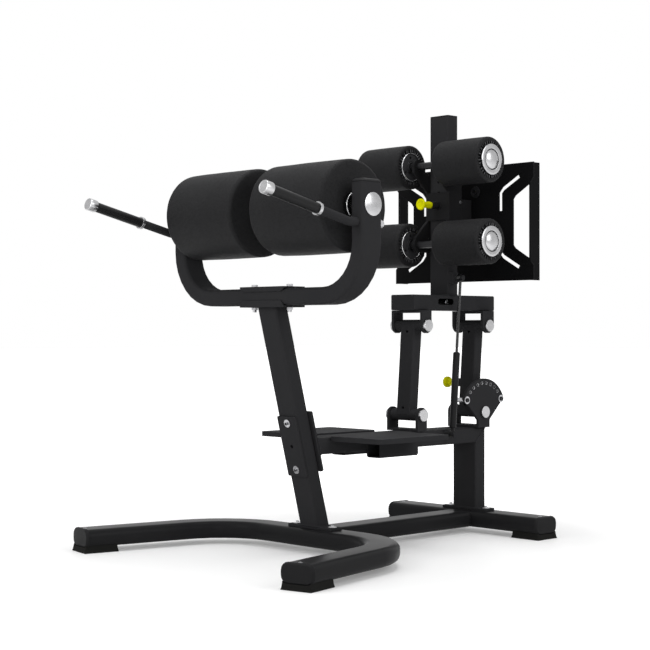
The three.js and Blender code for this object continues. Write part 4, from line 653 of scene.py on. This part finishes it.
sealed = addNode(hubTree, "GeometryNodeMergeByDistance", {"Geometry": plateShell, "Distance": 0.01 * mm})
addNode(hubTree, "NodeGroupOutput", {"Geometry": realPaint(hubTree, sealed, hubIn.outputs["Material"])})


def bakeTree(name, mesh, tree, values):  # runs a tree on a mesh and returns the result as a plain mesh
    carrier = bpy.data.objects.new(name + "_carrier", mesh)
    bpy.context.scene.collection.objects.link(carrier)
    addModifier(carrier, tree, values)
    bpy.context.view_layer.update()
    result = bpy.data.meshes.new_from_object(carrier.evaluated_get(bpy.context.evaluated_depsgraph_get()))
    carrier.modifiers.clear()
    bpy.data.objects.remove(carrier)
    result.name = name
    return result


plateMesh = bakeTree("hub_plate", bpy.data.meshes.new("hub_plate_start"), hubTree,
    {"Outer Radius": (ankleHub["ringInner"] - 0.1) * mm, "Bore Radius": ankleHub["boss"] * mm,
    "Hole Circle": ankleHub["circle"] * mm, "Hole Radius": ankleHub["hole"] * mm,
    "Hole Count": ankleHub["holes"], "Thickness": ankleHub["thickness"] * mm,
    "Material": finishes["mouldedNylon"]})
for rollerName, middle, pad, seed in rollers[2:]:
    inward = 1 if middle[1] < 0 else -1
    face = pad["half"] - pad["draw"]
    hub = newShape()
    behind, web, nutEnd = face - ankleHub["behind"], face + ankleHub["web"], face + ankleHub["nutReach"]
    shaft, nut, core = ankleHub["shaft"], ankleHub["nut"], ankleHub["core"]
    ringFace = face + ankleHub["ringProud"]
    revolve(hub, ringProfile(face - ankleHub["ringBehind"], ringFace, ankleHub["ringInner"],
        ankleHub["ringOuter"], 1.0), middle, yAxis * inward, 84, finish=1, closed=True)
    revolve(hub, roundRing(ringFace + 0.6, ankleHub["ring"], ankleHub["ringThick"]), middle, yAxis * inward,
        96, finish=0, closed=True)
    revolve(hub, [(behind, shaft), (nutEnd, shaft), (nutEnd, nut - 1), (nutEnd - 1, nut), (web, nut),
        (web, core - 1), (web - 1, core), (behind, core)], middle, yAxis * inward, 48, finish=2,
        closed=True)
    makePiece(rollerName + "_hub", hub, ["polishedSteel", "mouldedNylon", "blackOxideSteel"], rollerName)
    plate = plateMesh.copy()
    place = Matrix.Translation(Vector(middle) * mm + yAxis * inward * behind * mm)
    aim = Matrix.Rotation(math.radians(-90 * inward), 4, "X")
    plate.transform(place @ aim @ Matrix.Rotation(math.radians(ankleHub["turn"]), 4, "Z"))
    rideMesh(rollerName + "_hub_plate", plate, rollerName)

# Ankle axles: a black shaft with a domed chrome cap on each end, in place of the plain solids
ankleShaft = {"radius": 11.8, "half": 263.8, "capRadius": 48.6, "capFace": 270.2, "capBack": 264.6,
    "groove": 33.2, "dome": 30.2, "domeHeight": 8.6, "domeSteps": 14, "collar": 15.5, "collarBore": 11.6,
    "collarFrom": 51.2, "collarTo": 57.5}
for level in ("upper", "lower"):
    axle = newShape()
    middle = (anklePlace["x"], 0.0, anklePlace[level])
    half = ankleShaft["half"]
    revolve(axle, [(-half, 0), (-half, ankleShaft["radius"]), (half, ankleShaft["radius"]), (half, 0)],
        middle, yAxis, 40, finish=1)
    for side in (-1, 1):
        back, rimFace = ankleShaft["capBack"], ankleShaft["capFace"]
        rim, groove, domeRadius = ankleShaft["capRadius"], ankleShaft["groove"], ankleShaft["dome"]
        revolve(axle, [(back, groove - 1), (back, rim - 1.4), (back + 1.2, rim - 0.3), (back + 2.4, rim),
            (rimFace - 2.2, rim), (rimFace - 0.9, rim - 0.5), (rimFace - 0.1, rim - 1.8),
            (rimFace + 0.3, (rim + groove) / 2), (rimFace - 0.1, groove + 1.4),
            (rimFace - 0.9, groove + 0.3), (rimFace - 2.4, groove), (rimFace - 4.2, groove - 0.4),
            (rimFace - 4.2, groove - 1)], middle, yAxis * side, 96, finish=0, closed=True)
        revolve(axle, [(back + 0.4, 0), (back + 0.4, groove - 0.2), (rimFace - 3.6, groove - 0.2),
            (rimFace - 3.6, 0)], middle, yAxis * side, 60, finish=1)
        steps = ankleShaft["domeSteps"]
        dome = [(rimFace - 2.0 + ankleShaft["domeHeight"] * (1 - (i / steps) ** 2.2) ** 0.8,
            domeRadius * i / steps) for i in range(steps, -1, -1)]
        revolve(axle, [(rimFace - 3.4, 0), (rimFace - 3.4, domeRadius - 0.4),
            (rimFace - 2.6, domeRadius)] + dome, middle, yAxis * side, 96, finish=0)
        collar, collarBore = ankleShaft["collar"], ankleShaft["collarBore"]
        collarFrom, collarTo = ankleShaft["collarFrom"], ankleShaft["collarTo"]
        revolve(axle, [(collarFrom, collarBore), (collarFrom, collar), (collarTo - 1, collar),
            (collarTo, collar - 1), (collarTo, collarBore)], middle, yAxis * side, 36, finish=1,
            closed=True)
    axlePiece = makePiece(level + "_ankle_axle_dressed", axle, ["chromePlatedSteel", "blackOxideSteel"],
        "sleeve")
    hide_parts(level + "_ankle_axle")
print("hubs and axles made")


# Fasteners: domed screws with a hexagon socket, on a washer, wherever the photograph shows one

# Lengths here are in head radii, because each screw is scaled by the radius of its own head
screwShape = {"vertices": 28, "socket": 0.5, "washer": 1.22, "domePower": 2.4, "domeDrop": -0.28,
    "socketDepth": 0.7, "floorDrop": 0.3, "floorShare": 0.97, "floorThick": 0.08, "washerThick": 0.14}
screwTree = nodeTree("socketScrews", {"Head Height": "Float", "Socket Share": "Float",
    "Washer Share": "Float", "Material": "Material", "Socket Material": "Material"})
screwIn = addNode(screwTree, "NodeGroupInput")
head = addNode(screwTree, "GeometryNodeMeshCylinder", {"Vertices": screwShape["vertices"],
    "Side Segments": 2, "Fill Segments": 4, "Radius": 1.0, "Depth": screwIn.outputs["Head Height"]})
spot = addNode(screwTree, "GeometryNodeInputPosition")
parts = addNode(screwTree, "ShaderNodeSeparateXYZ", {"Vector": spot})
flatPart = addNode(screwTree, "ShaderNodeCombineXYZ", {"X": parts.outputs["X"], "Y": parts.outputs["Y"]})
outFromAxis = addNode(screwTree, "ShaderNodeVectorMath", {0: flatPart}, operation="LENGTH")
squared = addNode(screwTree, "ShaderNodeMath", {0: outFromAxis, 1: screwShape["domePower"]},
    operation="POWER")
onTop = addNode(screwTree, "FunctionNodeCompare", {"A": parts.outputs["Z"], "B": 0.01},
    operation="GREATER_THAN")
drop = addNode(screwTree, "ShaderNodeMath", {0: squared, 1: screwShape["domeDrop"]}, operation="MULTIPLY")
dropVector = addNode(screwTree, "ShaderNodeCombineXYZ", {"Z": drop})
domed = addNode(screwTree, "GeometryNodeSetPosition", {"Geometry": head, "Selection": onTop,
    "Offset": dropVector})
socketShape = addNode(screwTree, "GeometryNodeMeshCylinder",
    {"Vertices": 6, "Radius": screwIn.outputs["Socket Share"], "Depth": screwShape["socketDepth"]})
headTop = addNode(screwTree, "ShaderNodeMath", {0: screwIn.outputs["Head Height"], 1: 0.5},
    operation="MULTIPLY")
socketUp = addNode(screwTree, "ShaderNodeCombineXYZ", {"Z": headTop})
socketPlaced = addNode(screwTree, "GeometryNodeTransform", {"Geometry": socketShape,
    "Translation": socketUp})
recessed = addNode(screwTree, "GeometryNodeMeshBoolean", {"Mesh 1": domed, "Mesh 2": socketPlaced},
    operation="DIFFERENCE")
washer = addNode(screwTree, "GeometryNodeMeshCylinder", {"Vertices": screwShape["vertices"],
    "Radius": screwIn.outputs["Washer Share"], "Depth": screwShape["washerThick"]})
washerDown = addNode(screwTree, "ShaderNodeMath", {0: screwIn.outputs["Head Height"], 1: -0.5},
    operation="MULTIPLY")
washerPlace = addNode(screwTree, "ShaderNodeCombineXYZ", {"Z": washerDown})
washerPlaced = addNode(screwTree, "GeometryNodeTransform", {"Geometry": washer, "Translation": washerPlace})
floorUp = addNode(screwTree, "ShaderNodeMath", {0: headTop, 1: screwShape["floorDrop"]},
    operation="SUBTRACT")
socketFloorPlace = addNode(screwTree, "ShaderNodeCombineXYZ", {"Z": floorUp})
floorRadius = addNode(screwTree, "ShaderNodeMath", {0: screwIn.outputs["Socket Share"],
    1: screwShape["floorShare"]}, operation="MULTIPLY")
socketFloor = addNode(screwTree, "GeometryNodeMeshCylinder",
    {"Vertices": 6, "Radius": floorRadius, "Depth": screwShape["floorThick"]})
floorPlaced = addNode(screwTree, "GeometryNodeTransform", {"Geometry": socketFloor,
    "Translation": socketFloorPlace})
floorMarked = addNode(screwTree, "GeometryNodeStoreNamedAttribute",
    {"Geometry": floorPlaced, "Name": "inSocket", "Value": True}, data_type="BOOLEAN", domain="FACE")
wholeScrew = addNode(screwTree, "GeometryNodeJoinGeometry", {"Geometry": [floorMarked, recessed,
    washerPlaced]})
facing = addNode(screwTree, "GeometryNodeInputNamedAttribute", {"Name": "facing"}, data_type="FLOAT_VECTOR")
headSize = addNode(screwTree, "GeometryNodeInputNamedAttribute", {"Name": "headSize"}, data_type="FLOAT")
aimed = addNode(screwTree, "FunctionNodeAlignRotationToVector", {"Vector": facing}, axis="Z")
screws = addNode(screwTree, "GeometryNodeInstanceOnPoints", {"Points": screwIn.outputs["Geometry"],
    "Instance": wholeScrew, "Rotation": aimed, "Scale": headSize})
screwsSet = realPaint(screwTree, screws, screwIn.outputs["Material"])
inSocket = addNode(screwTree, "GeometryNodeInputNamedAttribute", {"Name": "inSocket"}, data_type="BOOLEAN")
socketsSet = addNode(screwTree, "GeometryNodeSetMaterial", {"Geometry": screwsSet, "Selection": inSocket,
    "Material": screwIn.outputs["Socket Material"]})
addNode(screwTree, "NodeGroupOutput", {"Geometry": socketsSet})

column = {"foot": (-129.0, 0.0, 79.3), "lean": 174.0, "rise": 662.7}
columnLean = math.atan2(column["lean"], column["rise"])
columnFront = Vector((-math.cos(columnLean), 0, -math.sin(columnLean)))


def onColumn(along, out):  # a point on the column's centre plane, this far up it and out from its axis
    upward = Vector((-math.sin(columnLean), 0, math.cos(columnLean)))
    return Vector(column["foot"]) + upward * along - columnFront * out


def placeScrews(name, body, seats, materialName, headHeight=0.62):  # seats: point, direction, head radius
    seatMesh = bpy.data.meshes.new(name + "_seats")
    seatMesh.from_pydata([(seat + direction * (headHeight / 2 + screwShape["washerThick"] / 2) * size) * mm
        for seat, direction, size in seats], [], [])
    facingData = seatMesh.attributes.new("facing", "FLOAT_VECTOR", "POINT")
    facingData.data.foreach_set("vector", [value for seat, direction, size in seats for value in direction])
    sizeData = seatMesh.attributes.new("headSize", "FLOAT", "POINT")
    sizeData.data.foreach_set("value", [size * mm for seat, direction, size in seats])
    screwMesh = bakeTree(name, seatMesh, screwTree, {"Head Height": headHeight,
        "Socket Share": screwShape["socket"], "Washer Share": screwShape["washer"],
        "Material": finishes[materialName], "Socket Material": finishes["blackOxideSteel"]})
    rideMesh(name, screwMesh, body)


sector = {"x": 584.0, "z": 398.0, "circle": 96.0, "face": -67.5, "stop": 64.5, "pitch": 13.1, "holes": 8}


def onSector(angle, radius, y):  # a point of the sector plate, its angle counted from straight up
    turn = math.radians(angle)
    return Vector((sector["x"] + radius * math.sin(turn), y, sector["z"] + radius * math.cos(turn)))


def pairAt(x, y, z, direction, size):  # the same screw on the near and the far side
    return [(Vector((x, side * y, z)), direction, size) for side in (-1, 1)]


# Where the screws sit, and their head radii
clampScrews = {"up": (186, 331), "front": -30.3, "back": 33.3, "radius": 10.0}
flangeScrews = {"x": (-129.0, 581.5), "y": 77.0, "z": 79.3, "radius": 10.4}
tubeScrews = {"front": (-634.0, 477.0), "rear": (585.5, 300.0), "z": 71.0, "radius": 5.2}
sleeveScrews = {"x": 428.2, "y": 45.8, "z": (972.0, 1183.0), "radius": 4.2}
cheekScrews = {"x": 484.0, "y": 50.8, "z": 1090.0, "radius": 4.6}
plateScrews = {"x": 549.4, "y": 60.0, "z": (925.0, 1126.0), "radius": 15.5}
stopRadius = 10.2

stops = [onSector(side * sector["stop"], sector["circle"], sector["face"]) for side in (-1, 1)]
clampSeats = [(onColumn(place, clampScrews["front"]), columnFront, clampScrews["radius"])
    for place in clampScrews["up"]]
clampSeats += [(onColumn(place, clampScrews["back"]), -columnFront, clampScrews["radius"])
    for place in clampScrews["up"]]
flangeSeats = []
for flangeX in flangeScrews["x"]:
    flangeSeats += pairAt(flangeX, flangeScrews["y"], flangeScrews["z"], zAxis, flangeScrews["radius"])
placeScrews("frame_bolts", "frame", clampSeats + flangeSeats + [(stop, -yAxis, stopRadius)
    for stop in stops], "zincPlatedSteel")
tubeSeats = [seat for x, y in (tubeScrews["front"], tubeScrews["rear"])
    for seat in pairAt(x, y, tubeScrews["z"], zAxis, tubeScrews["radius"])]
placeScrews("frame_tube_screws", "frame", tubeSeats, "zincPlatedSteel", headHeight=0.5)
sleeveSeats = [(Vector((sleeveScrews["x"], side * sleeveScrews["y"], z)), -xAxis, sleeveScrews["radius"])
    for side in (-1, 1) for z in sleeveScrews["z"]]
sleeveSeats += [(Vector((cheekScrews["x"], side * cheekScrews["y"], cheekScrews["z"])), yAxis * side,
    cheekScrews["radius"]) for side in (-1, 1)]
placeScrews("sleeve_screws", "sleeve", sleeveSeats, "zincPlatedSteel")
plateSeats = [(Vector((plateScrews["x"], side * plateScrews["y"], z)), -xAxis, plateScrews["radius"])
    for side in (-1, 1) for z in plateScrews["z"]]
placeScrews("foot_plate_screws", "sleeve", plateSeats, "blackOxideSteel", headHeight=0.5)


# Turned and hexagonal hardware that is one body: stop shanks, cap nuts, the beam's cross bolt
stopShank = {"from": 10.4, "to": 46.6, "radius": 7.2, "chamfer": 1.0}
capNut = {"x": -263.7, "z": 966.0, "washer": 17.0, "seat": 2.9, "corner": 14.2, "top": 15.6, "dome": 11.6,
    "domeHeight": 11.0, "domeSteps": 10}
beamBolt = {"place": (442.0, 0.0, 761.5), "half": 30.0, "radius": 9.2, "bevelAlong": 1.2, "bevelIn": 0.8}
handleY = 390.0
hardware = newShape()
for stop in stops:
    shankEnd, shankRadius, chamfer = stopShank["to"], stopShank["radius"], stopShank["chamfer"]
    revolve(hardware, [(stopShank["from"], 0), (stopShank["from"], shankRadius),
        (shankEnd - chamfer, shankRadius), (shankEnd, shankRadius - chamfer), (shankEnd, 0)], stop, yAxis,
        28)
for side in (-1, 1):
    root = (capNut["x"], side * handleY, capNut["z"])
    seat, corner, top, dome = capNut["seat"], capNut["corner"], capNut["top"], capNut["dome"]
    revolve(hardware, [(0.2, 0), (0.2, capNut["washer"]), (seat - 0.3, capNut["washer"]),
        (seat, capNut["washer"] - 0.4), (seat, corner - 0.6)], root, xAxis, 36)
    revolve(hardware, [(seat, 0), (seat, corner - 1), (seat + 1.1, corner), (top - 1.1, corner),
        (top, corner - 1), (top, dome)], root, xAxis, 6)
    quarters = [math.pi / 2 * i / capNut["domeSteps"] for i in range(capNut["domeSteps"] + 1)]
    revolve(hardware, [(top - 0.2, dome)] + [(top + capNut["domeHeight"] * math.sin(turn),
        dome * math.cos(turn)) for turn in quarters], root, xAxis, 32)
makePiece("frame_hardware", hardware, ["zincPlatedSteel"], "frame")

crossBolt = newShape()
half, radius, shoulder = beamBolt["half"], beamBolt["radius"], beamBolt["half"] - beamBolt["bevelAlong"]
boltRim = radius - beamBolt["bevelIn"]
revolve(crossBolt, [(-half, 0), (-half, boltRim), (-shoulder, radius), (shoulder, radius), (half, boltRim),
    (half, 0)], beamBolt["place"], yAxis, 32)
makePiece("beam_cross_bolt", crossBolt, ["zincPlatedSteel"], "carriage")


# Thin bushes that line the sector's holes, so that each shows a pale crescent
bushTree = nodeTree("dialBushes", {"Inner Radius": "Float", "Outer Radius": "Float", "Length": "Float",
    "Material": "Material"})
bushIn = addNode(bushTree, "NodeGroupInput")
middleRadius = addNode(bushTree, "ShaderNodeMath", {0: bushIn.outputs["Inner Radius"],
    1: bushIn.outputs["Outer Radius"]}, operation="ADD")
halfRadius = addNode(bushTree, "ShaderNodeMath", {0: middleRadius, 1: 0.5}, operation="MULTIPLY")
wallWidth = addNode(bushTree, "ShaderNodeMath", {0: bushIn.outputs["Outer Radius"],
    1: bushIn.outputs["Inner Radius"]}, operation="SUBTRACT")
bushPath = addNode(bushTree, "GeometryNodeCurvePrimitiveCircle", {"Resolution": 28, "Radius": halfRadius})
bushSection = addNode(bushTree, "GeometryNodeCurvePrimitiveQuadrilateral",
    {"Width": wallWidth, "Height": bushIn.outputs["Length"]})
bushBody = addNode(bushTree, "GeometryNodeCurveToMesh", {"Curve": bushPath, "Profile Curve": bushSection})
bushTurn = addNode(bushTree, "FunctionNodeAxisAngleToRotation",
    {"Axis": (1.0, 0.0, 0.0), "Angle": math.pi / 2})
bushes = addNode(bushTree, "GeometryNodeInstanceOnPoints", {"Points": bushIn.outputs["Geometry"],
    "Instance": bushBody, "Rotation": bushTurn})
addNode(bushTree, "NodeGroupOutput", {"Geometry": realPaint(bushTree, bushes, bushIn.outputs["Material"])})
bush = {"bore": 4.9, "radius": 5.55, "length": 3.4}
holeMesh = bpy.data.meshes.new("sector_hole_places")
holeAngles = [sector["pitch"] * (i - (sector["holes"] - 1) / 2) for i in range(sector["holes"])]
bushY = sector["face"] + bush["length"] / 2
holeMesh.from_pydata([onSector(angle, sector["circle"], bushY) * mm for angle in holeAngles], [], [])
bushMesh = bakeTree("sector_bushes", holeMesh, bushTree, {"Inner Radius": bush["bore"] * mm,
    "Outer Radius": bush["radius"] * mm, "Length": bush["length"] * mm,
    "Material": finishes["zincPlatedSteel"]})
rideMesh("sector_bushes", bushMesh, "frame")


# Pull knobs: a yellow dished head on a waisted neck, which screws on to a steel pin
knob = {"edge": 2.2, "dish": 11.5, "dishDeep": 2.2, "neck": 9.2, "neckFlare": 11.4, "neckLength": 50.0,
    "pin": 5.7}
# node and body, middle of the knob's face, direction of the pin, head radius, head thickness, end of the pin
pulls = [("height_pull_pin", (343.0, 0.0, 1078.0), xAxis, 18.6, 8.0, 89.5),
    ("swing_pull_pin", (595.0, 110.0, 493.4), -yAxis, 18.6, 12.0, 166.0)]
for pullName, knobFace, knobAxis, headRadius, thick, pinEnd in pulls:
    rim, dish, depth = knob["edge"], knob["dish"], knob["dishDeep"]
    neck, flare, neckEnd = knob["neck"], knob["neckFlare"], knob["neckLength"]
    pull = newShape()
    revolve(pull, [(depth, 0), (depth, dish - 1.4), (depth * 0.3, dish), (0, dish + 1.2),
        (0, headRadius - rim), (rim * 0.3, headRadius - rim * 0.3), (rim, headRadius),
        (thick - rim, headRadius), (thick - rim * 0.3, headRadius - rim * 0.3), (thick, headRadius - rim),
        (thick + 1.6, neck + 2.2), (thick + 4, neck + 0.4), (thick + 9, neck), (neckEnd - 12, flare - 0.4),
        (neckEnd - 4, flare), (neckEnd - 1, flare - 0.4), (neckEnd, flare - 1.6), (neckEnd, 0)], knobFace,
        knobAxis, 48)
    revolve(pull, [(neckEnd - 1, 0), (neckEnd - 1, knob["pin"]), (pinEnd - 1.5, knob["pin"]),
        (pinEnd, knob["pin"] - 1.5), (pinEnd, 0)], knobFace, knobAxis, 24, finish=1)
    pullPiece = makePiece(pullName + "_knob", pull, ["mouldedAbs", "blackOxideSteel"], pullName)
    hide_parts(pullName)

# Gas spring cylinder: rolled-in shoulders, a gland at the rod's end and an eye at the foot
spring = {"foot": (410.0, -80.0, 334.0), "top": (450.5, -80.0, 840.0), "radius": 11.4, "length": 265.0,
    "bore": 6.2, "boreFrom": 31.0, "neck": 6.0, "neckFrom": 6.0, "neckTo": 17.5, "shellFrom": 24.0,
    "eye": 11.0, "eyeHole": 5.2, "eyeHalf": 7.0}
springAlong = (Vector(spring["top"]) - Vector(spring["foot"])).normalized()
barrel = newShape()
end, shell = spring["length"], spring["radius"]
bore, neck, start = spring["bore"], spring["neck"], spring["shellFrom"]
revolve(barrel, [(spring["boreFrom"], 0), (spring["boreFrom"], bore), (end, bore), (end, shell - 3.2),
    (end - 1.2, shell - 1.4), (end - 3.2, shell - 0.3), (end - 5.5, shell), (start, shell),
    (start - 3.5, shell - 1.2), (start - 5.5, shell - 4.0), (spring["neckTo"], neck),
    (spring["neckFrom"], neck), (spring["neckFrom"], 0)], spring["foot"], springAlong, 40)
eye, eyeHole, eyeHalf = spring["eye"], spring["eyeHole"], spring["eyeHalf"]
revolve(barrel, [(-eyeHalf, eyeHole), (-eyeHalf, eye - 1), (1 - eyeHalf, eye), (eyeHalf - 1, eye),
    (eyeHalf, eye - 1), (eyeHalf, eyeHole)], spring["foot"], yAxis, 36, closed=True)
barrelPiece = makePiece("gas_spring_barrel", barrel, ["blackEnamel"], "gas_spring_cylinder")
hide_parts("gas_spring_cylinder")

# Handle caps: a short chrome cap, with the end of the grip showing behind it
handleTip = {"x": -680.0, "z": 1041.94, "rise": 13.5, "radius": 18.5, "front": -6.0, "back": 21.0,
    "grip": 15.0, "gripEnd": 27.1, "bore": 12.9}
tipAlong = Vector((math.cos(math.radians(handleTip["rise"])), 0,
    -math.sin(math.radians(handleTip["rise"]))))
for side, sideName in ((-1, "near"), (1, "far")):
    tip = newShape()
    front, rimRadius, tipBack = handleTip["front"], handleTip["radius"], handleTip["back"]
    bore, grip, gripEnd = handleTip["bore"], handleTip["grip"], handleTip["gripEnd"]
    tipPlace = (handleTip["x"], side * handleY, handleTip["z"])
    revolve(tip, [(front + 0.5, 0), (front + 0.4, rimRadius - 5), (front, rimRadius - 3),
        (front + 0.9, rimRadius - 0.9), (front + 3, rimRadius), (tipBack - 1.4, rimRadius),
        (tipBack - 0.4, rimRadius - 0.5), (tipBack, rimRadius - 1.6), (tipBack, bore), (-0.2, bore),
        (-0.2, 0)], tipPlace, tipAlong, 56, finish=0)
    revolve(tip, [(tipBack + 0.2, bore), (tipBack + 0.2, grip), (gripEnd, grip), (gripEnd, bore)], tipPlace,
        tipAlong, 40, finish=1, closed=True)
    tipPiece = makePiece("handle_tip_" + sideName, tip, ["chromePlatedSteel", "vinylGrip"], "frame")
    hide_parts("handle_cap_" + sideName)
print("hardware made")


# Rubber feet that cup the rounded underside of the tubes

# tubeRound is the radius of the tube's corner with its clearance, tubeAcross and tubeZ its centre. Points
# that lie further out than outside are drawn in at both ends of the foot.
footSize = {"halfLength": 56.0, "halfWidth": 49.0, "fold": 7.0, "wall": 46.6, "lip": 23.5, "draw": 5.5,
    "bevel": 1.2, "outside": 40, "tubeRound": 21.25, "tubeAcross": 31.5, "tubeZ": 38.0, "seatFrom": -46,
    "seatSweep": -44, "seatSteps": 6}


def footSection():  # half of the section across the tube, from the floor's edge to the middle of the seat
    seat = []
    for i in range(footSize["seatSteps"] + 1):
        angle = math.radians(footSize["seatFrom"] + footSize["seatSweep"] * i / footSize["seatSteps"])
        seat.append((footSize["tubeAcross"] + footSize["tubeRound"] * math.cos(angle),
            footSize["tubeZ"] + footSize["tubeRound"] * math.sin(angle)))
    width, wall, fold, bevel = footSize["halfWidth"], footSize["wall"], footSize["fold"], footSize["bevel"]
    return [(width - 1, 0.0), (width, bevel), (width - 0.6, 3.0), (wall + 0.4, fold), (wall, fold + 4),
        (wall, footSize["lip"] - bevel)] + seat


feet = [("front_foot_near", (-600.9, -469.1), 12.0), ("front_foot_far", (-600.9, 469.1), -12.0),
    ("rear_foot_near", (585.5, -275.0), 90.0), ("rear_foot_far", (585.5, 275.0), 90.0)]
for footName, footPlace, footTurn in feet:
    half = footSection()
    outline = half + [(-t, z) for t, z in reversed(half)]
    turned = Matrix.Rotation(math.radians(footTurn), 4, "Z")
    block = newShape()
    stations = (-1, -0.96, -0.5, 0, 0.5, 0.96, 1)
    for station in stations:
        for t, z in outline:
            drawIn = footSize["draw"] * min(1.0, z / footSize["lip"])
            along = station * (footSize["halfLength"] - drawIn - (footSize["bevel"] if z == 0 else 0))
            narrowed = abs(station) == 1 and abs(t) > footSize["outside"]
            spot = turned @ Vector((along, t - math.copysign(footSize["bevel"] if narrowed else 0.0, t), z))
            block["points"].append(spot + Vector((footPlace[0], footPlace[1], 0)))
    count = len(outline)
    for i in range(len(stations) - 1):
        for j in range(count):
            k = (j + 1) % count
            block["faces"].append((i * count + j, i * count + k, (i + 1) * count + k, (i + 1) * count + j))
            block["finish"].append(0)
    for i in (0, len(stations) - 1):
        block["faces"].append(tuple(i * count + j for j in range(count)))
        block["finish"].append(0)
    footPiece = makePiece(footName + "_moulded", block, ["mouldedRubber"], "frame", crease=28)
    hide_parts(footName)
print("feet made")


# Weld beads: overlapping ripples along each joint

bead = {"radius": 2.1, "pitch": 2.0, "seed": 5, "least": 0.86, "most": 1.12}
beadTree = nodeTree("weldBeads", {"Bead Radius": "Float", "Ripple Pitch": "Float", "Seed": "Int",
    "Material": "Material"})
beadIn = addNode(beadTree, "NodeGroupInput")
beadCurve = addNode(beadTree, "GeometryNodeMeshToCurve", {"Mesh": beadIn.outputs["Geometry"]})
beadSteps = addNode(beadTree, "GeometryNodeResampleCurve", {"Curve": beadCurve,
    "Length": beadIn.outputs["Ripple Pitch"]}, mode="LENGTH")
ripple = addNode(beadTree, "GeometryNodeMeshIcoSphere", {"Radius": beadIn.outputs["Bead Radius"],
    "Subdivisions": 2})
rippleSize = addNode(beadTree, "FunctionNodeRandomValue", {"Min": (bead["least"],) * 3,
    "Max": (bead["most"],) * 3, "Seed": beadIn.outputs["Seed"]}, data_type="FLOAT_VECTOR")
ripples = addNode(beadTree, "GeometryNodeInstanceOnPoints", {"Points": beadSteps, "Instance": ripple,
    "Scale": rippleSize})
addNode(beadTree, "NodeGroupOutput", {"Geometry": realPaint(beadTree, ripples, beadIn.outputs["Material"])})


def ringPath(x0, x1, halfY, z, corner):  # a rounded rectangle lying flat
    path = []
    for cx, cy, start in ((x1 - corner, halfY - corner, 0), (x0 + corner, halfY - corner, 90),
            (x0 + corner, -halfY + corner, 180), (x1 - corner, -halfY + corner, 270)):
        for i in range(4):
            angle = math.radians(start + 30 * i)
            path.append(Vector((cx + corner * math.cos(angle), cy + corner * math.sin(angle), z)))
    return path + path[:1]


def seam(*ends):  # a straight joint between two points
    return [Vector(end) for end in ends]


# Round the feet of the column and the rear post, round the beam's end on the column, and over the mitre
beadPaths = {
    "frame": [ringPath(-154.8, -103.0, 40.4, 79.6, 8), ringPath(560.3, 610.8, 50.4, 79.6, 6),
              seam((-151.0, -46, 296.0), (-151.0, 46, 296.0)),
              seam((-151.0, -50.6, 297.0), (-164.2, -50.6, 346.0)),
              seam((-151.0, 50.6, 297.0), (-164.2, 50.6, 346.0)),
              seam((-164.4, -46, 346.8), (-164.4, 46, 346.8)),
              seam((561.5, -50.1, 297.5), (609.5, -50.1, 345.5)),
              seam((561.5, 50.1, 297.5), (609.5, 50.1, 345.5))],
    "carriage": [ringPath(433.7, 484.3, 40.4, 784.2, 6)],
}
for bodyName, paths in beadPaths.items():
    beadMesh = bpy.data.meshes.new(bodyName + "_bead_paths")
    beadPoints, beadEdges = [], []
    for path in paths:
        first = len(beadPoints)
        beadPoints += [point * mm for point in path]
        beadEdges += [(first + i, first + i + 1) for i in range(len(path) - 1)]
    beadMesh.from_pydata(beadPoints, beadEdges, [])
    beads = bakeTree(bodyName + "_weld_beads", beadMesh, beadTree,
        {"Bead Radius": bead["radius"] * mm, "Ripple Pitch": bead["pitch"] * mm, "Seed": bead["seed"],
        "Material": finishes["powderCoatedSteel"]})
    rideMesh(bodyName + "_weld_beads", beads, bodyName)
print("weld beads made")
